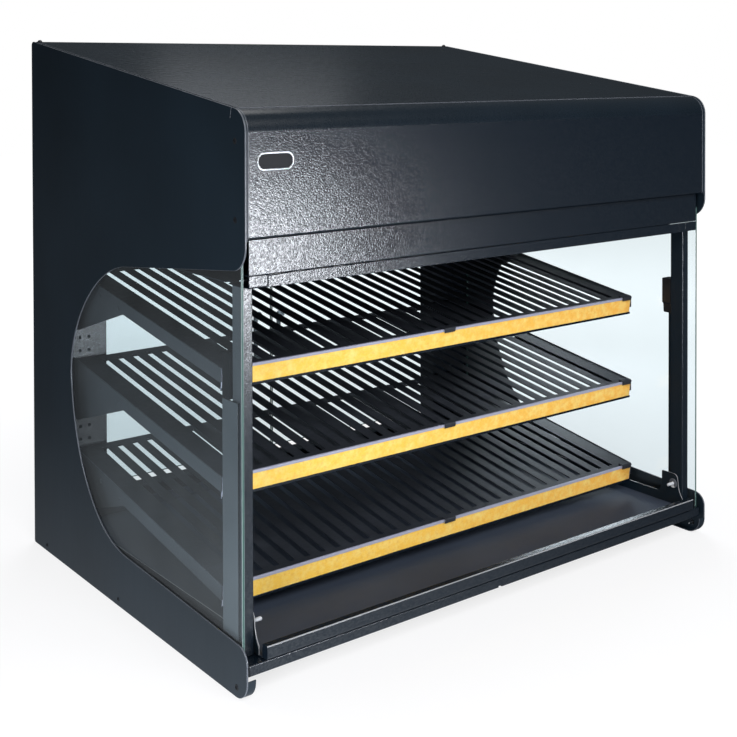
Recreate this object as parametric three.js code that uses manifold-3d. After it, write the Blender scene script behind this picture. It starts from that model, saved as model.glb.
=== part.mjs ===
// Countertop hot food display case with an open front, three slanted shelves and glass sides.
// Millimetres. +X is the customer's right, +Y points to the rear doors, +Z is up.
// Pieces are modelled from the left, front, counter-level corner. The outermost group then
// moves the origin to the middle of the footprint.
import * as THREE from 'three';
import { mergeVertices } from 'three/addons/utils/BufferGeometryUtils.js';
import Module from 'manifold-3d';

const wasm = await Module();
wasm.setup();

// ---------------------------------------------------------------- driving dimensions
const width = 921;              // over both side panels
const depth = 674;              // front edge to rear edge of a side panel
const frontTopHeight = 746;     // where the roof line would meet the front
const roofSlope = THREE.MathUtils.degToRad(8.39);
const cornerRadius = 30;        // rounded roof-to-front corner
const panelSheet = 2.5;         // side panels
const sheet = 1.5;              // every other folded cover
const gap = 0.3;                // clearance between neighbouring pieces
const hoodFlange = 5;           // inward flange of a side panel round the hood
const hoodInset = hoodFlange + gap;

const fasciaFront = 2;
const fasciaBottom = 584.4;
const bandFront = 10.5;
const bandEnd = 12;
const bandBottom = 536.2;
const hoodBottom = 520.6;
const nozzleStart = 39.8;

const glassThickness = 4.5;
const glassFront = 15;
const glassInner = panelSheet + gap + glassThickness;

const baseBottom = 30;
const baseTop = 44.5;
const panSide = 31;
const panFloorTop = 46.4;
const panWallTop = 62;
const panEarTop = 99;
const panPinPlace = { y: 41, z: 82.5 };

const postInner = 27.5;
const postFront = 26.5;
const postBack = 52;
const rearPostFront = 600;
const rearPostBack = 640;
const rearPostInner = 98;

const shelfSlope = THREE.MathUtils.degToRad(9);
const shelfSide = 42;
const shelfFront = 125;
const shelfPitch = 148.5;
const shelfTops = [393.5, 393.5 - shelfPitch, 393.5 - 2 * shelfPitch];
const shelfNames = ['top', 'middle', 'bottom'];
const deckDepth = 474;
const channelHeight = 32;
const slotPitch = 27;
const slotWidth = 10;

const doorFront = 646;
const doorThickness = 5;
const doorHinge = 52;
const doorBottom = 82;
const doorTop = 508;
const rearPanelFace = 654;

const arcSteps = 5;             // flat facets in each rounded corner
const roundSides = 14;          // facets round a pin, knob or hole

// ---------------------------------------------------------------- materials
const finish = (colour, roughness, metalness, extra = {}) =>
  new THREE.MeshStandardMaterial({ color: colour, roughness, metalness, ...extra });

const satinBlack = finish(0x252b34, 0.45, 0.2);
const hammeredBlack = finish(0x23262c, 0.5, 0.3);
const pressedBlack = finish(0x15181d, 0.5, 0.3);
const glassFinish = finish(0xdcebef, 0.05, 0, { transparent: true, opacity: 0.3 });
const brightSteel = finish(0xc6cad0, 0.25, 1);
const galvanised = finish(0x9aa0a6, 0.45, 0.9);
const blackPlastic = finish(0x16181b, 0.4, 0);
const channelPlastic = finish(0x9fa3b8, 0.3, 0);
const labelYellow = finish(0xf8c647, 0.6, 0);
const lampWhite = finish(0xf3efe2, 0.35, 0);
const cordRubber = finish(0x111214, 0.7, 0);
const switchRed = finish(0xa3161c, 0.3, 0);

// ---------------------------------------------------------------- scene graph
const displayCase = new THREE.Group();
const cabinet = new THREE.Group();
cabinet.position.set(-width / 2, -depth / 2, 0);
displayCase.add(cabinet);

function part(name, geometry, material, parent = cabinet) {
  const mesh = new THREE.Mesh(geometry, material);
  mesh.name = name;
  parent.add(mesh);
  return mesh;
}

// ---------------------------------------------------------------- outlines
// Corners are [a, b, radius]. A corner with a radius becomes an arc of flat facets.
function outline(corners, steps = arcSteps) {
  const count = corners.length;
  return corners.flatMap(([a, b, radius = 0], i) => {
    const here = new THREE.Vector2(a, b);
    if (radius === 0) {
      return [here];
    }
    const before = corners[(i + count - 1) % count];
    const after = corners[(i + 1) % count];
    const toBefore = new THREE.Vector2(before[0] - a, before[1] - b).normalize();
    const toAfter = new THREE.Vector2(after[0] - a, after[1] - b).normalize();
    const half = Math.acos(toBefore.dot(toAfter)) / 2;
    const middle = toBefore.clone().add(toAfter).normalize();
    const centre = here.clone().addScaledVector(middle, radius / Math.sin(half));
    const start = here.clone().addScaledVector(toBefore, radius / Math.tan(half)).sub(centre);
    const end = here.clone().addScaledVector(toAfter, radius / Math.tan(half)).sub(centre);
    const turn = Math.atan2(start.cross(end), start.dot(end));
    return Array.from({ length: steps + 1 }, (_, k) =>
      start.clone().rotateAround(new THREE.Vector2(), (turn * k) / steps).add(centre));
  });
}

// A folded sheet: the line it follows, with the metal on the line's left.
function foldedSheet(line, thickness) {
  const inner = line.map((point, i) => {
    const before = line[Math.max(i - 1, 0)];
    const after = line[Math.min(i + 1, line.length - 1)];
    const arrive = point.clone().sub(before);
    const leave = after.clone().sub(point);
    const first = (i === 0 ? leave : arrive).normalize();
    const second = (i === line.length - 1 ? first : leave).normalize();
    const bisector = new THREE.Vector2(-first.y - second.y, first.x + second.x).normalize();
    const reach = thickness / bisector.dot(new THREE.Vector2(-first.y, first.x));
    return point.clone().addScaledVector(bisector, reach);
  });
  return [...line, ...inner.reverse()];
}

function rectangle(a0, a1, b0, b1, radius = 0) {
  return outline([[a0, b0, radius], [a1, b0, radius], [a1, b1, radius], [a0, b1, radius]]);
}

function circle(a, b, radius, sides = roundSides) {
  return Array.from({ length: sides }, (_, k) => {
    const angle = (2 * Math.PI * k) / sides;
    return new THREE.Vector2(a + radius * Math.cos(angle), b + radius * Math.sin(angle));
  });
}

// ---------------------------------------------------------------- solids
function extrude(points, length, holes) {
  const shape = new THREE.Shape(points);
  shape.holes = holes.map((hole) => new THREE.Path(hole));
  return new THREE.ExtrudeGeometry(shape, { depth: length, bevelEnabled: false });
}

// An outline in (Y, Z) pushed along X, in (X, Z) along Y, and in (X, Y) along Z.
function alongX(points, from, to, holes = []) {
  const place = new THREE.Matrix4().set(0, 0, 1, from, 1, 0, 0, 0, 0, 1, 0, 0, 0, 0, 0, 1);
  return extrude(points, to - from, holes).applyMatrix4(place);
}

function alongY(points, from, to, holes = []) {
  const place = new THREE.Matrix4().set(1, 0, 0, 0, 0, 0, -1, to, 0, 1, 0, 0, 0, 0, 0, 1);
  return extrude(points, to - from, holes).applyMatrix4(place);
}

function alongZ(points, from, to, holes = []) {
  return extrude(points, to - from, holes).translate(0, 0, from);
}

function block(x0, x1, y0, y1, z0, z1) {
  const box = new THREE.BoxGeometry(x1 - x0, y1 - y0, z1 - z0);
  return box.translate((x0 + x1) / 2, (y0 + y1) / 2, (z0 + z1) / 2);
}

function merged(geometry) {
  const bare = geometry.clone();
  bare.deleteAttribute('normal');
  bare.deleteAttribute('uv');
  return mergeVertices(bare, 1e-5);
}

function toSolid(geometry) {
  const bare = merged(geometry);
  return new wasm.Manifold(new wasm.Mesh({
    numProp: 3,
    vertProperties: Float32Array.from(bare.attributes.position.array),
    triVerts: Uint32Array.from(bare.index.array),
  }));
}

function toGeometry(solid) {
  const mesh = solid.getMesh();
  const geometry = new THREE.BufferGeometry();
  geometry.setAttribute('position', new THREE.BufferAttribute(mesh.vertProperties, 3));
  geometry.setIndex(new THREE.BufferAttribute(mesh.triVerts, 1));
  geometry.computeVertexNormals();
  return geometry;
}

function join(...geometries) {
  return toGeometry(geometries.map(toSolid).reduce((all, next) => all.add(next)));
}

function cut(body, ...tools) {
  const tool = tools.map(toSolid).reduce((all, next) => all.add(next));
  return toGeometry(toSolid(body).subtract(tool));
}

// The same piece for the other side of the cabinet.
function mirrored(geometry) {
  const other = merged(geometry).scale(-1, 1, 1).translate(width, 0, 0);
  const index = other.index.array;
  for (let i = 0; i < index.length; i += 3) {
    [index[i], index[i + 1]] = [index[i + 1], index[i]];
  }
  other.computeVertexNormals();
  return other;
}

function pair(name, geometry, material) {
  part(`${name}_left`, geometry, material);
  part(`${name}_right`, mirrored(geometry), material);
}

const roofAt = (y) => frontTopHeight + y * Math.tan(roofSlope);
const shelfAt = (top, y) => top + (y - shelfFront) * Math.tan(shelfSlope);

// ---------------------------------------------------------------- casing
const screwPlaces = [[24, 708], [24, 608], [24.5, 12.7]];
const screwNames = ['upper', 'lower', 'foot'];
const headRadius = 4.5;

function sidePanel() {
  const upper = new THREE.CubicBezierCurve(
    new THREE.Vector2(333, 509), new THREE.Vector2(425, 498.8),
    new THREE.Vector2(524, 408), new THREE.Vector2(524, 316));
  const lower = new THREE.CubicBezierCurve(
    upper.v3, new THREE.Vector2(518, 200),
    new THREE.Vector2(450, 86), new THREE.Vector2(336, 81));
  const windowEdge = [...upper.getPoints(8), ...lower.getPoints(8).slice(1)];
  const footRadius = 26;
  const profile = outline([
    [0, 0, footRadius],
    [depth, 0, 4],
    [depth, roofAt(depth), 7],
    [0, roofAt(0), cornerRadius],
    [0, 546, 33],
    ...windowEdge.map((point) => [point.x, point.y]),
    [0, 67.2, 20],
  ]);
  const footLine = outline([[0, 28], [0, 0, footRadius], [depth - 8, 0]]);
  const hoodLine = outline([
    [depth - 10, roofAt(depth - 10)], [0, roofAt(0), cornerRadius], [0, 582],
  ]);
  const holes = screwPlaces.map(([y, z]) => circle(y, z, headRadius + gap));
  return join(
    alongX(profile, 0, panelSheet, holes),
    alongX(foldedSheet(footLine, sheet), 0, 14),
    alongX(foldedSheet(hoodLine, sheet), 0, hoodFlange));
}

function sideScrew([y, z]) {
  const screw = new THREE.LatheGeometry([
    new THREE.Vector2(0, 0.2),
    new THREE.Vector2(headRadius - 0.6, 0.2),
    new THREE.Vector2(headRadius, 0.8),
    new THREE.Vector2(2, 2.4),
    new THREE.Vector2(2, 11),
    new THREE.Vector2(0, 12),
  ], roundSides);
  return screw.rotateZ(-Math.PI / 2).translate(0, y, z);
}

function hoodShell() {
  const line = outline([
    [14, fasciaBottom],
    [fasciaFront, fasciaBottom, 3],
    [fasciaFront, roofAt(fasciaFront), cornerRadius - 1],
    [depth - 4, roofAt(depth - 4), 4],
    [depth - 4, roofAt(depth - 4) - 24],
  ]);
  return alongX(foldedSheet(line.reverse(), sheet), hoodInset, width - hoodInset);
}

function hoodFrontBand() {
  const line = outline([
    [40, fasciaBottom - gap],
    [bandFront, fasciaBottom - gap],
    [bandFront, bandBottom],
    [24, bandBottom],
  ]);
  return alongX(foldedSheet(line, sheet), bandEnd, width - bandEnd);
}

// The air outlet across the front: an open box with a slot grid in its floor.
function airNozzle() {
  const back = 60;
  const top = bandBottom - gap;
  const trough = foldedSheet(outline([
    [bandFront, top], [bandFront, hoodBottom], [back, hoodBottom], [back, top],
  ]), sheet);
  const start = nozzleStart + gap;
  const end = width - start;
  const count = 24;
  const pitch = (end - start - 20) / count;
  const slots = Array.from({ length: count }, (_, i) => {
    const x = start + 10 + (i + 0.5) * pitch;
    return block(x - pitch * 0.36, x + pitch * 0.36, 20, back - 8, hoodBottom - 1, hoodBottom + 3);
  });
  return cut(alongX(trough, start, end), ...slots);
}

function nozzleEnd() {
  const line = outline([
    [bandFront, bandBottom - gap], [bandFront, hoodBottom], [60, hoodBottom],
  ]);
  return alongX(foldedSheet(line, sheet), bandEnd, nozzleStart);
}

function hoodCeiling() {
  const start = glassInner + 1;
  const plate = block(start, width - start, 62, rearPostFront - 2, 523, 523 + sheet);
  const count = 18;
  const pitch = 40;
  const first = width / 2 - ((count - 1) * pitch) / 2;
  const returns = Array.from({ length: count }, (_, i) =>
    block(first + i * pitch - 6, first + i * pitch + 6, 440, 560, 520, 528));
  return cut(plate, ...returns);
}

// Rear cover of the hood, set back inside the side panels, with openings for the controls.
const rockerPlaces = [
  { name: 'power_rocker', x: 130, z: 700 },
  { name: 'light_rocker', x: 175, z: 700 },
];
const knobPlace = { x: 240, z: 700 };
const cordPlace = { x: 800, z: 600 };

function hoodRearPanel() {
  const top = roofAt(rearPanelFace) - 8;
  const line = outline([
    [618, 523], [rearPanelFace, 523, 3], [rearPanelFace, top, 3], [rearPanelFace - 14, top],
  ]);
  const body = alongX(foldedSheet(line, sheet), hoodInset, width - hoodInset);
  const vents = Array.from({ length: 10 }, (_, i) =>
    block(width / 2 - 67 + i * 14, width / 2 - 61 + i * 14, rearPanelFace - 5, rearPanelFace + 2, 640, 710));
  const rockers = rockerPlaces.map(({ x, z }) =>
    block(x - 11.5, x + 11.5, rearPanelFace - 5, rearPanelFace + 2, z - 16, z + 16));
  const knob = alongY(circle(knobPlace.x, knobPlace.z, 4), rearPanelFace - 5, rearPanelFace + 2);
  const cord = alongY(circle(cordPlace.x, cordPlace.z, 7), rearPanelFace - 5, rearPanelFace + 2);
  const pivots = [doorHinge, width - doorHinge].map((pivot) =>
    alongZ(circle(pivot, doorFront + doorThickness / 2, 3.4), 520, 528));
  return cut(body, ...vents, ...rockers, knob, cord, ...pivots);
}

function baseShell() {
  const back = rearPanelFace;
  const line = outline([
    [30, baseTop], [6, baseTop, 2], [6, baseBottom, 2], [back, baseBottom, 2],
    [back, 72, 2], [620, 72],
  ]);
  const body = alongX(foldedSheet(line, sheet), glassInner + gap, width - glassInner - gap);
  const notch = block(width / 2 - 20, width / 2 - 12, 0, 12, baseBottom - 1, baseBottom + 3);
  const pivots = [doorHinge, width - doorHinge].map((pivot) =>
    alongZ(circle(pivot, doorFront + doorThickness / 2, 3.4), 68, 76));
  return cut(body, notch, ...pivots);
}

// ---------------------------------------------------------------- glass and posts
function sideGlass() {
  return alongX(rectangle(glassFront, 598, 40, 560, 3), panelSheet + gap, glassInner);
}

// Hollow front post with the flange that carries the side glass behind it.
function frontPost() {
  const wall = 1.5;
  const outside = 12;
  const tube = alongZ(
    rectangle(outside, postInner, postFront, postBack, 1), panFloorTop + gap, hoodBottom - gap,
    [rectangle(outside + wall, postInner - wall, postFront + wall, postBack - wall)]);
  const flange = block(glassInner + gap, glassInner + 2.8, postFront + 6, 70, 66, 372);
  const bridge = block(glassInner + 1, outside + 1, postFront + 6, postFront + 9, 66, 372);
  return join(tube, flange, bridge);
}

// Two-step clip that holds the edge of the side glass.
function glassClip() {
  const front = postBack + gap;
  const clip = outline([
    [glassInner + gap, 433, 2], [postInner, 433, 2], [postInner, 391], [postInner - 3, 388],
    [postInner - 4, 372.5, 3], [glassInner + gap, 372.5],
  ].reverse());
  return alongY(clip, front, front + 18);
}

function panPin() {
  const pin = new THREE.LatheGeometry([
    new THREE.Vector2(0, 0),
    new THREE.Vector2(8, 0),
    new THREE.Vector2(8, 1.6),
    new THREE.Vector2(2.6, 1.8),
    new THREE.Vector2(2.6, 14.4),
    new THREE.Vector2(1.8, 15.2),
    new THREE.Vector2(0, 15.2),
  ], roundSides);
  return pin.rotateZ(-Math.PI / 2).translate(panSide + sheet + gap, panPinPlace.y, panPinPlace.z);
}

function rearPost() {
  const line = outline([
    [glassInner + gap, rearPostBack], [glassInner + gap, rearPostFront],
    [rearPostInner, rearPostFront], [rearPostInner, rearPostBack],
  ]);
  const channel = alongZ(foldedSheet(line, sheet), 74, hoodBottom - gap);
  const holes = shelfTops.flatMap((top) => [0, 1, 2].flatMap((row) => [50.4, 66.2].map((x) =>
    alongY(circle(x, top - 42 - row * 21.6, 2.6, 8), rearPostFront - 1, rearPostFront + 3))));
  return cut(channel, ...holes);
}

// ---------------------------------------------------------------- base pan and front lip
function basePan() {
  const back = 598;
  const front = 12 + gap;
  const floor = block(panSide, width - panSide, front, back, panFloorTop - sheet, panFloorTop);
  const upstand = block(panSide, width - panSide, front, front + sheet, panFloorTop - 1, 60);
  const rear = block(panSide, width - panSide, back - sheet, back, panFloorTop - 1, panWallTop);
  const wallProfile = outline([
    [21, panFloorTop - 1], [back, panFloorTop - 1], [back, panWallTop], [74, panWallTop, 6],
    [66, 72], [66, panEarTop, 2], [33, panEarTop, 9], [31, 79], [27.5, 68], [21, 57],
  ]);
  const wall = alongX(wallProfile, panSide, panSide + sheet);
  return join(floor, upstand, rear, wall, mirrored(wall));
}

// Hemmed lip across the front of the pan: a box section, open at the back.
function frontLip() {
  const lipDepth = 12;
  const hem = 1.2;
  const [low, high] = [47, 65];
  const section = outline([[0, low, 4], [lipDepth, low], [lipDepth, high, 1.5], [0, high, 1.5]]);
  const pocket = block(panSide + hem, width - panSide - hem,
    hem, lipDepth + 1, low + hem, high - hem - 4);
  return cut(alongX(section, panSide, width - panSide), pocket);
}

// ---------------------------------------------------------------- shelves
// Upright sheet beside the deck: a sloping rail that deepens into a gusset at the rear.
function shelfBracket(top) {
  const rail = 20.5;
  const gussetStart = 421;
  const back = rearPostFront - gap;
  const gussetSlope = Math.tan(THREE.MathUtils.degToRad(17.5));
  const low = shelfAt(top, gussetStart) - rail;
  const profile = outline([
    [shelfFront + 3, shelfAt(top, shelfFront + 3) - rail, 2],
    [gussetStart, low],
    [back - 10, low - gussetSlope * (back - 10 - gussetStart)],
    [back, low - gussetSlope * (back - 10 - gussetStart)],
    [back, shelfAt(top, back)],
    [shelfFront + 3, shelfAt(top, shelfFront + 3), 2],
  ]);
  const web = alongX(profile, shelfSide - 2, shelfSide);
  const ledgeStart = shelfFront + 8;
  const ledge = alongX([
    new THREE.Vector2(ledgeStart, shelfAt(top, ledgeStart) - rail),
    new THREE.Vector2(gussetStart - 6, shelfAt(top, gussetStart - 6) - rail),
    new THREE.Vector2(gussetStart - 6, shelfAt(top, gussetStart - 6) - rail + sheet),
    new THREE.Vector2(ledgeStart, shelfAt(top, ledgeStart) - rail + sheet),
  ], shelfSide - 1, shelfSide + 10);
  const foot = block(shelfSide - 2, shelfSide + 8, back - 2, back,
    shelfAt(top, back) - 70, shelfAt(top, back) - 26);
  const rivets = [436, 502].map((y) => {
    const head = new THREE.CylinderGeometry(2.4, 3.4, 1.4, 12);
    return head.rotateZ(Math.PI / 2).translate(shelfSide - 2.6, y, shelfAt(top, y) - 16);
  });
  return join(web, ledge, foot, ...rivets);
}

// Deck, in the shelf's own sloping frame: origin on the front top edge, over the left bracket.
const deckWidth = width - 2 * shelfSide;

function shelfDeck() {
  const side = gap;
  const plateTop = -1;
  const start = 3.6;
  const flange = foldedSheet(outline([
    [side, -18], [side, plateTop, 2], [deckWidth - side, plateTop, 2], [deckWidth - side, -18],
  ]).reverse(), sheet);
  const plate = alongY(flange, start, deckDepth);
  const count = 29;
  const first = (deckWidth - (count - 1) * slotPitch) / 2;
  const slots = Array.from({ length: count }, (_, i) => {
    const x = first + i * slotPitch;
    return block(x - slotWidth / 2, x + slotWidth / 2, 14, deckDepth - 16, -6, 2);
  });
  const hooks = [4, deckWidth / 2 - 22, deckWidth - 26].flatMap((x) => [
    block(x, x + 22, -1.2, 8, 0.3, 1.5),
    block(x, x + 22, -1.2, -0.3, -5, 1.2),
    block(x, x + 22, start, 8, -2, 1),
  ]);
  return join(cut(plate, ...slots), ...hooks);
}

// Price channel: a plastic back with lips above and below that hold the label strip.
function priceChannel() {
  const lip = 3;
  const section = outline([
    [0, 0], [0, -lip], [0.7, -lip], [0.7, -1], [1.9, -1], [1.9, 1 - channelHeight],
    [0.7, 1 - channelHeight], [0.7, 4 - channelHeight], [0, 4 - channelHeight],
    [0, -channelHeight], [3.2, -channelHeight], [3.2, 0],
  ]);
  return alongX(section, 0, deckWidth);
}

function priceLabel() {
  return block(2, deckWidth - 2, 0.85, 1.75, 1.4 - channelHeight, -1.3);
}

// ---------------------------------------------------------------- rear doors
function doorPivot(top) {
  const y0 = doorFront - 5;
  const y1 = doorFront + doorThickness + 5;
  const x0 = doorHinge - 10;
  const x1 = doorHinge + 30;
  const [low, high] = top ? [doorTop - 22, doorTop + 9] : [doorBottom - 6, doorBottom + 22];
  const clamp = block(x0, x1, y0, y1, low, high);
  const pocket = block(x0 - 1, x1 + 1, doorFront - gap, doorFront + doorThickness + gap,
    top ? low - 1 : doorBottom - gap, top ? doorTop + gap : high + 1);
  const pinEnds = top ? [high - 1, high + 8] : [low - 8, low + 1];
  const pin = alongZ(circle(doorHinge, doorFront + doorThickness / 2, 3), ...pinEnds);
  return join(cut(clamp, pocket), pin);
}

function doorGlass() {
  return alongY(rectangle(doorHinge - 6, width / 2 - 1.5, doorBottom, doorTop, 4),
    doorFront, doorFront + doorThickness);
}

function doorHandle() {
  const y0 = doorFront + doorThickness + gap;
  const grip = outline([
    [y0, 240, 1], [y0 + 16, 244, 4], [y0 + 16, 336, 4], [y0, 340, 1],
  ]);
  const clear = outline([[y0 + 5, 258, 3], [y0 + 11, 260, 3], [y0 + 11, 320, 3], [y0 + 5, 322, 3]]);
  return alongX(grip, width / 2 - 34, width / 2 - 18, [clear]);
}

// ---------------------------------------------------------------- controls
const rockerTilt = THREE.MathUtils.degToRad(8);

// Rocker switch, modelled in its OFF position.
function rocker({ name, x, z }, material) {
  const group = new THREE.Group();
  group.position.set(x, rearPanelFace - 2, z);
  group.rotation.x = -rockerTilt;
  cabinet.add(group);
  const cap = outline([[-6, -13], [7, -13, 2], [5, 0], [7, 13, 2], [-6, 13]]);
  part(name, alongX(cap, -10, 10), material, group);
}

function thermostatKnob() {
  const skirt = new THREE.LatheGeometry([
    new THREE.Vector2(0, -14), new THREE.Vector2(3, -14), new THREE.Vector2(3, 0.6),
    new THREE.Vector2(19, 0.6), new THREE.Vector2(19, 3.4), new THREE.Vector2(15, 4.4),
    new THREE.Vector2(13.6, 13), new THREE.Vector2(12, 14.6), new THREE.Vector2(0, 14.6),
  ], 32);
  const pointer = block(-1.6, 1.6, 13, 15.4, 0, 12);
  return join(skirt, pointer).translate(knobPlace.x, rearPanelFace, knobPlace.z);
}

// ---------------------------------------------------------------- air and light
const blower = { x: width / 2, y: 470, z: 640, radius: 62, halfWidth: 40 };

function blowerHousing() {
  const { x, y, z, radius, halfWidth } = blower;
  const scroll = outline([
    [y + radius + 8, z - radius - 8, 40], [y + radius + 8, z + radius + 8, 40],
    [y - radius - 12, z + radius + 8, 40], [y - radius - 12, z - 10],
    [y - radius - 40, z - 10], [y - radius - 40, z - radius - 8],
  ]);
  const hollow = outline([
    [y + radius + 6, z - radius - 6, 38], [y + radius + 6, z + radius + 6, 38],
    [y - radius - 10, z + radius + 6, 38], [y - radius - 10, z - 12],
    [y - radius - 60, z - 12], [y - radius - 60, z - radius - 6],
  ]);
  const inlet = alongX(circle(y, z, radius - 20), x - halfWidth - 5, x + halfWidth + 5);
  return cut(
    alongX(scroll, x - halfWidth, x + halfWidth),
    alongX(hollow, x - halfWidth + 2, x + halfWidth - 2), inlet);
}

function blowerImpeller() {
  const { x, y, z, radius, halfWidth } = blower;
  const side = halfWidth - 6;
  const rim = radius - 6;
  const blades = Array.from({ length: 12 }, (_, i) => {
    const blade = new THREE.BoxGeometry(2 * side, 16, 1.6);
    blade.rotateX(THREE.MathUtils.degToRad(25)).translate(0, rim - 9, 0);
    return blade.rotateX((2 * Math.PI * i) / 12);
  });
  const disc = alongX(circle(0, 0, rim, 24), -side, -side + 3);
  const ring = alongX(circle(0, 0, rim, 24), side - 3, side, [circle(0, 0, rim - 14, 24)]);
  const shaft = alongX(circle(0, 0, 4), -halfWidth - 24, -side + 2);
  return join(disc, ring, shaft, ...blades).translate(x, y, z);
}

function blowerMotor() {
  const { x, y, z, halfWidth } = blower;
  const start = x - halfWidth - 62;
  const can = alongX(circle(y, z, 32, 28), start, x - halfWidth - 4);
  const bore = alongX(circle(y, z, 4.6), x - halfWidth - 34, x - halfWidth);
  const feet = block(start + 10, start + 44, y - 36, y + 36, 524 + sheet, 612);
  return cut(join(can, feet), bore);
}

// Sheathed heating element bent back and forth across the blower outlet.
function airHeater() {
  const y = 300;
  const corners = [];
  for (let run = 0; run < 4; run += 1) {
    const z = 556 + run * 20;
    const side = run % 2 === 0 ? 137 : -137;
    const ends = [width / 2 - side, width / 2 + side];
    corners.push(...ends.map((x) => new THREE.Vector3(x, y, z)));
  }
  const path = new THREE.CurvePath();
  corners.slice(1).forEach((corner, i) => {
    const start = corners[i];
    if (Math.abs(start.z - corner.z) < 1) {
      path.add(new THREE.LineCurve3(start, corner));
    } else {
      const bulge = start.x > width / 2 ? 13 : -13;
      path.add(new THREE.CubicBezierCurve3(
        start, start.clone().setX(start.x + bulge),
        corner.clone().setX(corner.x + bulge), corner));
    }
  });
  const tube = new THREE.Shape(circle(0, 0, 4, 6));
  return new THREE.ExtrudeGeometry(tube, { steps: 48, extrudePath: path, bevelEnabled: false });
}

function displayLamp() {
  const lamp = new THREE.LatheGeometry([
    new THREE.Vector2(0, 0), new THREE.Vector2(6, 0), new THREE.Vector2(6, 14),
    new THREE.Vector2(5, 16), new THREE.Vector2(5, 744), new THREE.Vector2(6, 746),
    new THREE.Vector2(6, 760), new THREE.Vector2(0, 760),
  ], 16);
  return lamp.rotateZ(-Math.PI / 2).translate(width / 2 - 380, 100, 516);
}

// Supply cord, parked as a flat coil in the recess behind the hood, with its plug in the middle.
function powerCord() {
  const plane = rearPanelFace + 9;
  const centre = { x: 700, z: 650 };
  const start = { x: cordPlace.x, z: cordPlace.z };
  const startAngle = Math.atan2(start.z - centre.z, start.x - centre.x);
  const outer = Math.hypot(start.x - centre.x, start.z - centre.z);
  const turns = 2.25;
  const points = Array.from({ length: 40 }, (_, i) => {
    const t = i / 39;
    const radius = outer - t * 52;
    const angle = startAngle + t * turns * 2 * Math.PI;
    return new THREE.Vector3(
      centre.x + radius * Math.cos(angle), plane, centre.z + radius * Math.sin(angle));
  });
  const path = new THREE.CatmullRomCurve3(points);
  const section = new THREE.Shape(circle(0, 0, 4.5, 6));
  const cord = new THREE.ExtrudeGeometry(section, { steps: 56, extrudePath: path, bevelEnabled: false });
  const bush = alongY(circle(start.x, start.z, 6.6), rearPanelFace - 8, plane + 2);
  const collar = alongY(circle(start.x, start.z, 11), rearPanelFace + gap, plane + 4);
  const last = points[points.length - 1];
  const plug = block(last.x - 15, last.x + 15, plane - 8, plane + 9, last.z - 16, last.z + 16);
  const blades = [-6, 6].map((shift) =>
    block(last.x + shift - 3, last.x + shift + 3, plane - 1, plane + 1, last.z + 10, last.z + 32));
  return join(cord, bush, collar, plug, ...blades);
}

// ---------------------------------------------------------------- assembly
pair('side_panel', sidePanel(), satinBlack);
screwPlaces.forEach((place, i) => {
  pair(`side_screw_${screwNames[i]}`, sideScrew(place), blackPlastic);
});
part('hood_shell', hoodShell(), hammeredBlack);
part('hood_front_band', hoodFrontBand(), hammeredBlack);
part('air_nozzle', airNozzle(), hammeredBlack);
pair('nozzle_end', nozzleEnd(), hammeredBlack);
part('hood_ceiling', hoodCeiling(), pressedBlack);
part('hood_rear_panel', hoodRearPanel(), hammeredBlack);
part('base_shell', baseShell(), hammeredBlack);

pair('side_glass', sideGlass(), glassFinish);
pair('front_post', frontPost(), hammeredBlack);
pair('glass_clip', glassClip(), blackPlastic);
pair('rear_post', rearPost(), hammeredBlack);
part('base_pan', basePan(), satinBlack);
part('front_lip', frontLip(), hammeredBlack);
pair('pan_pin', panPin(), brightSteel);

shelfTops.forEach((top, i) => {
  const name = shelfNames[i];
  pair(`shelf_bracket_${name}`, shelfBracket(top), pressedBlack);
  const slope = new THREE.Group();
  slope.position.set(shelfSide, shelfFront, top);
  slope.rotation.x = shelfSlope;
  cabinet.add(slope);
  part(`shelf_deck_${name}`, shelfDeck(), pressedBlack, slope);
  part(`price_channel_${name}`, priceChannel(), channelPlastic, slope);
  part(`price_label_${name}`, priceLabel(), labelYellow, slope);
});

pair('rear_door', doorGlass(), glassFinish);
pair('door_handle', doorHandle(), brightSteel);
pair('door_pivot_top', doorPivot(true), brightSteel);
pair('door_pivot_bottom', doorPivot(false), brightSteel);

rocker(rockerPlaces[0], switchRed);
rocker(rockerPlaces[1], blackPlastic);
part('thermostat_knob', thermostatKnob(), blackPlastic);
part('blower_housing', blowerHousing(), galvanised);
part('blower_impeller', blowerImpeller(), galvanised);
part('blower_motor', blowerMotor(), galvanised);
part('air_heater', airHeater(), galvanised);
part('display_lamp', displayLamp(), lampWhite);
part('power_cord', powerCord(), cordRubber);

export default displayCase;
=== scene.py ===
import math
from collections import namedtuple

import bmesh
import bpy
from mathutils import Matrix, Vector


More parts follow.
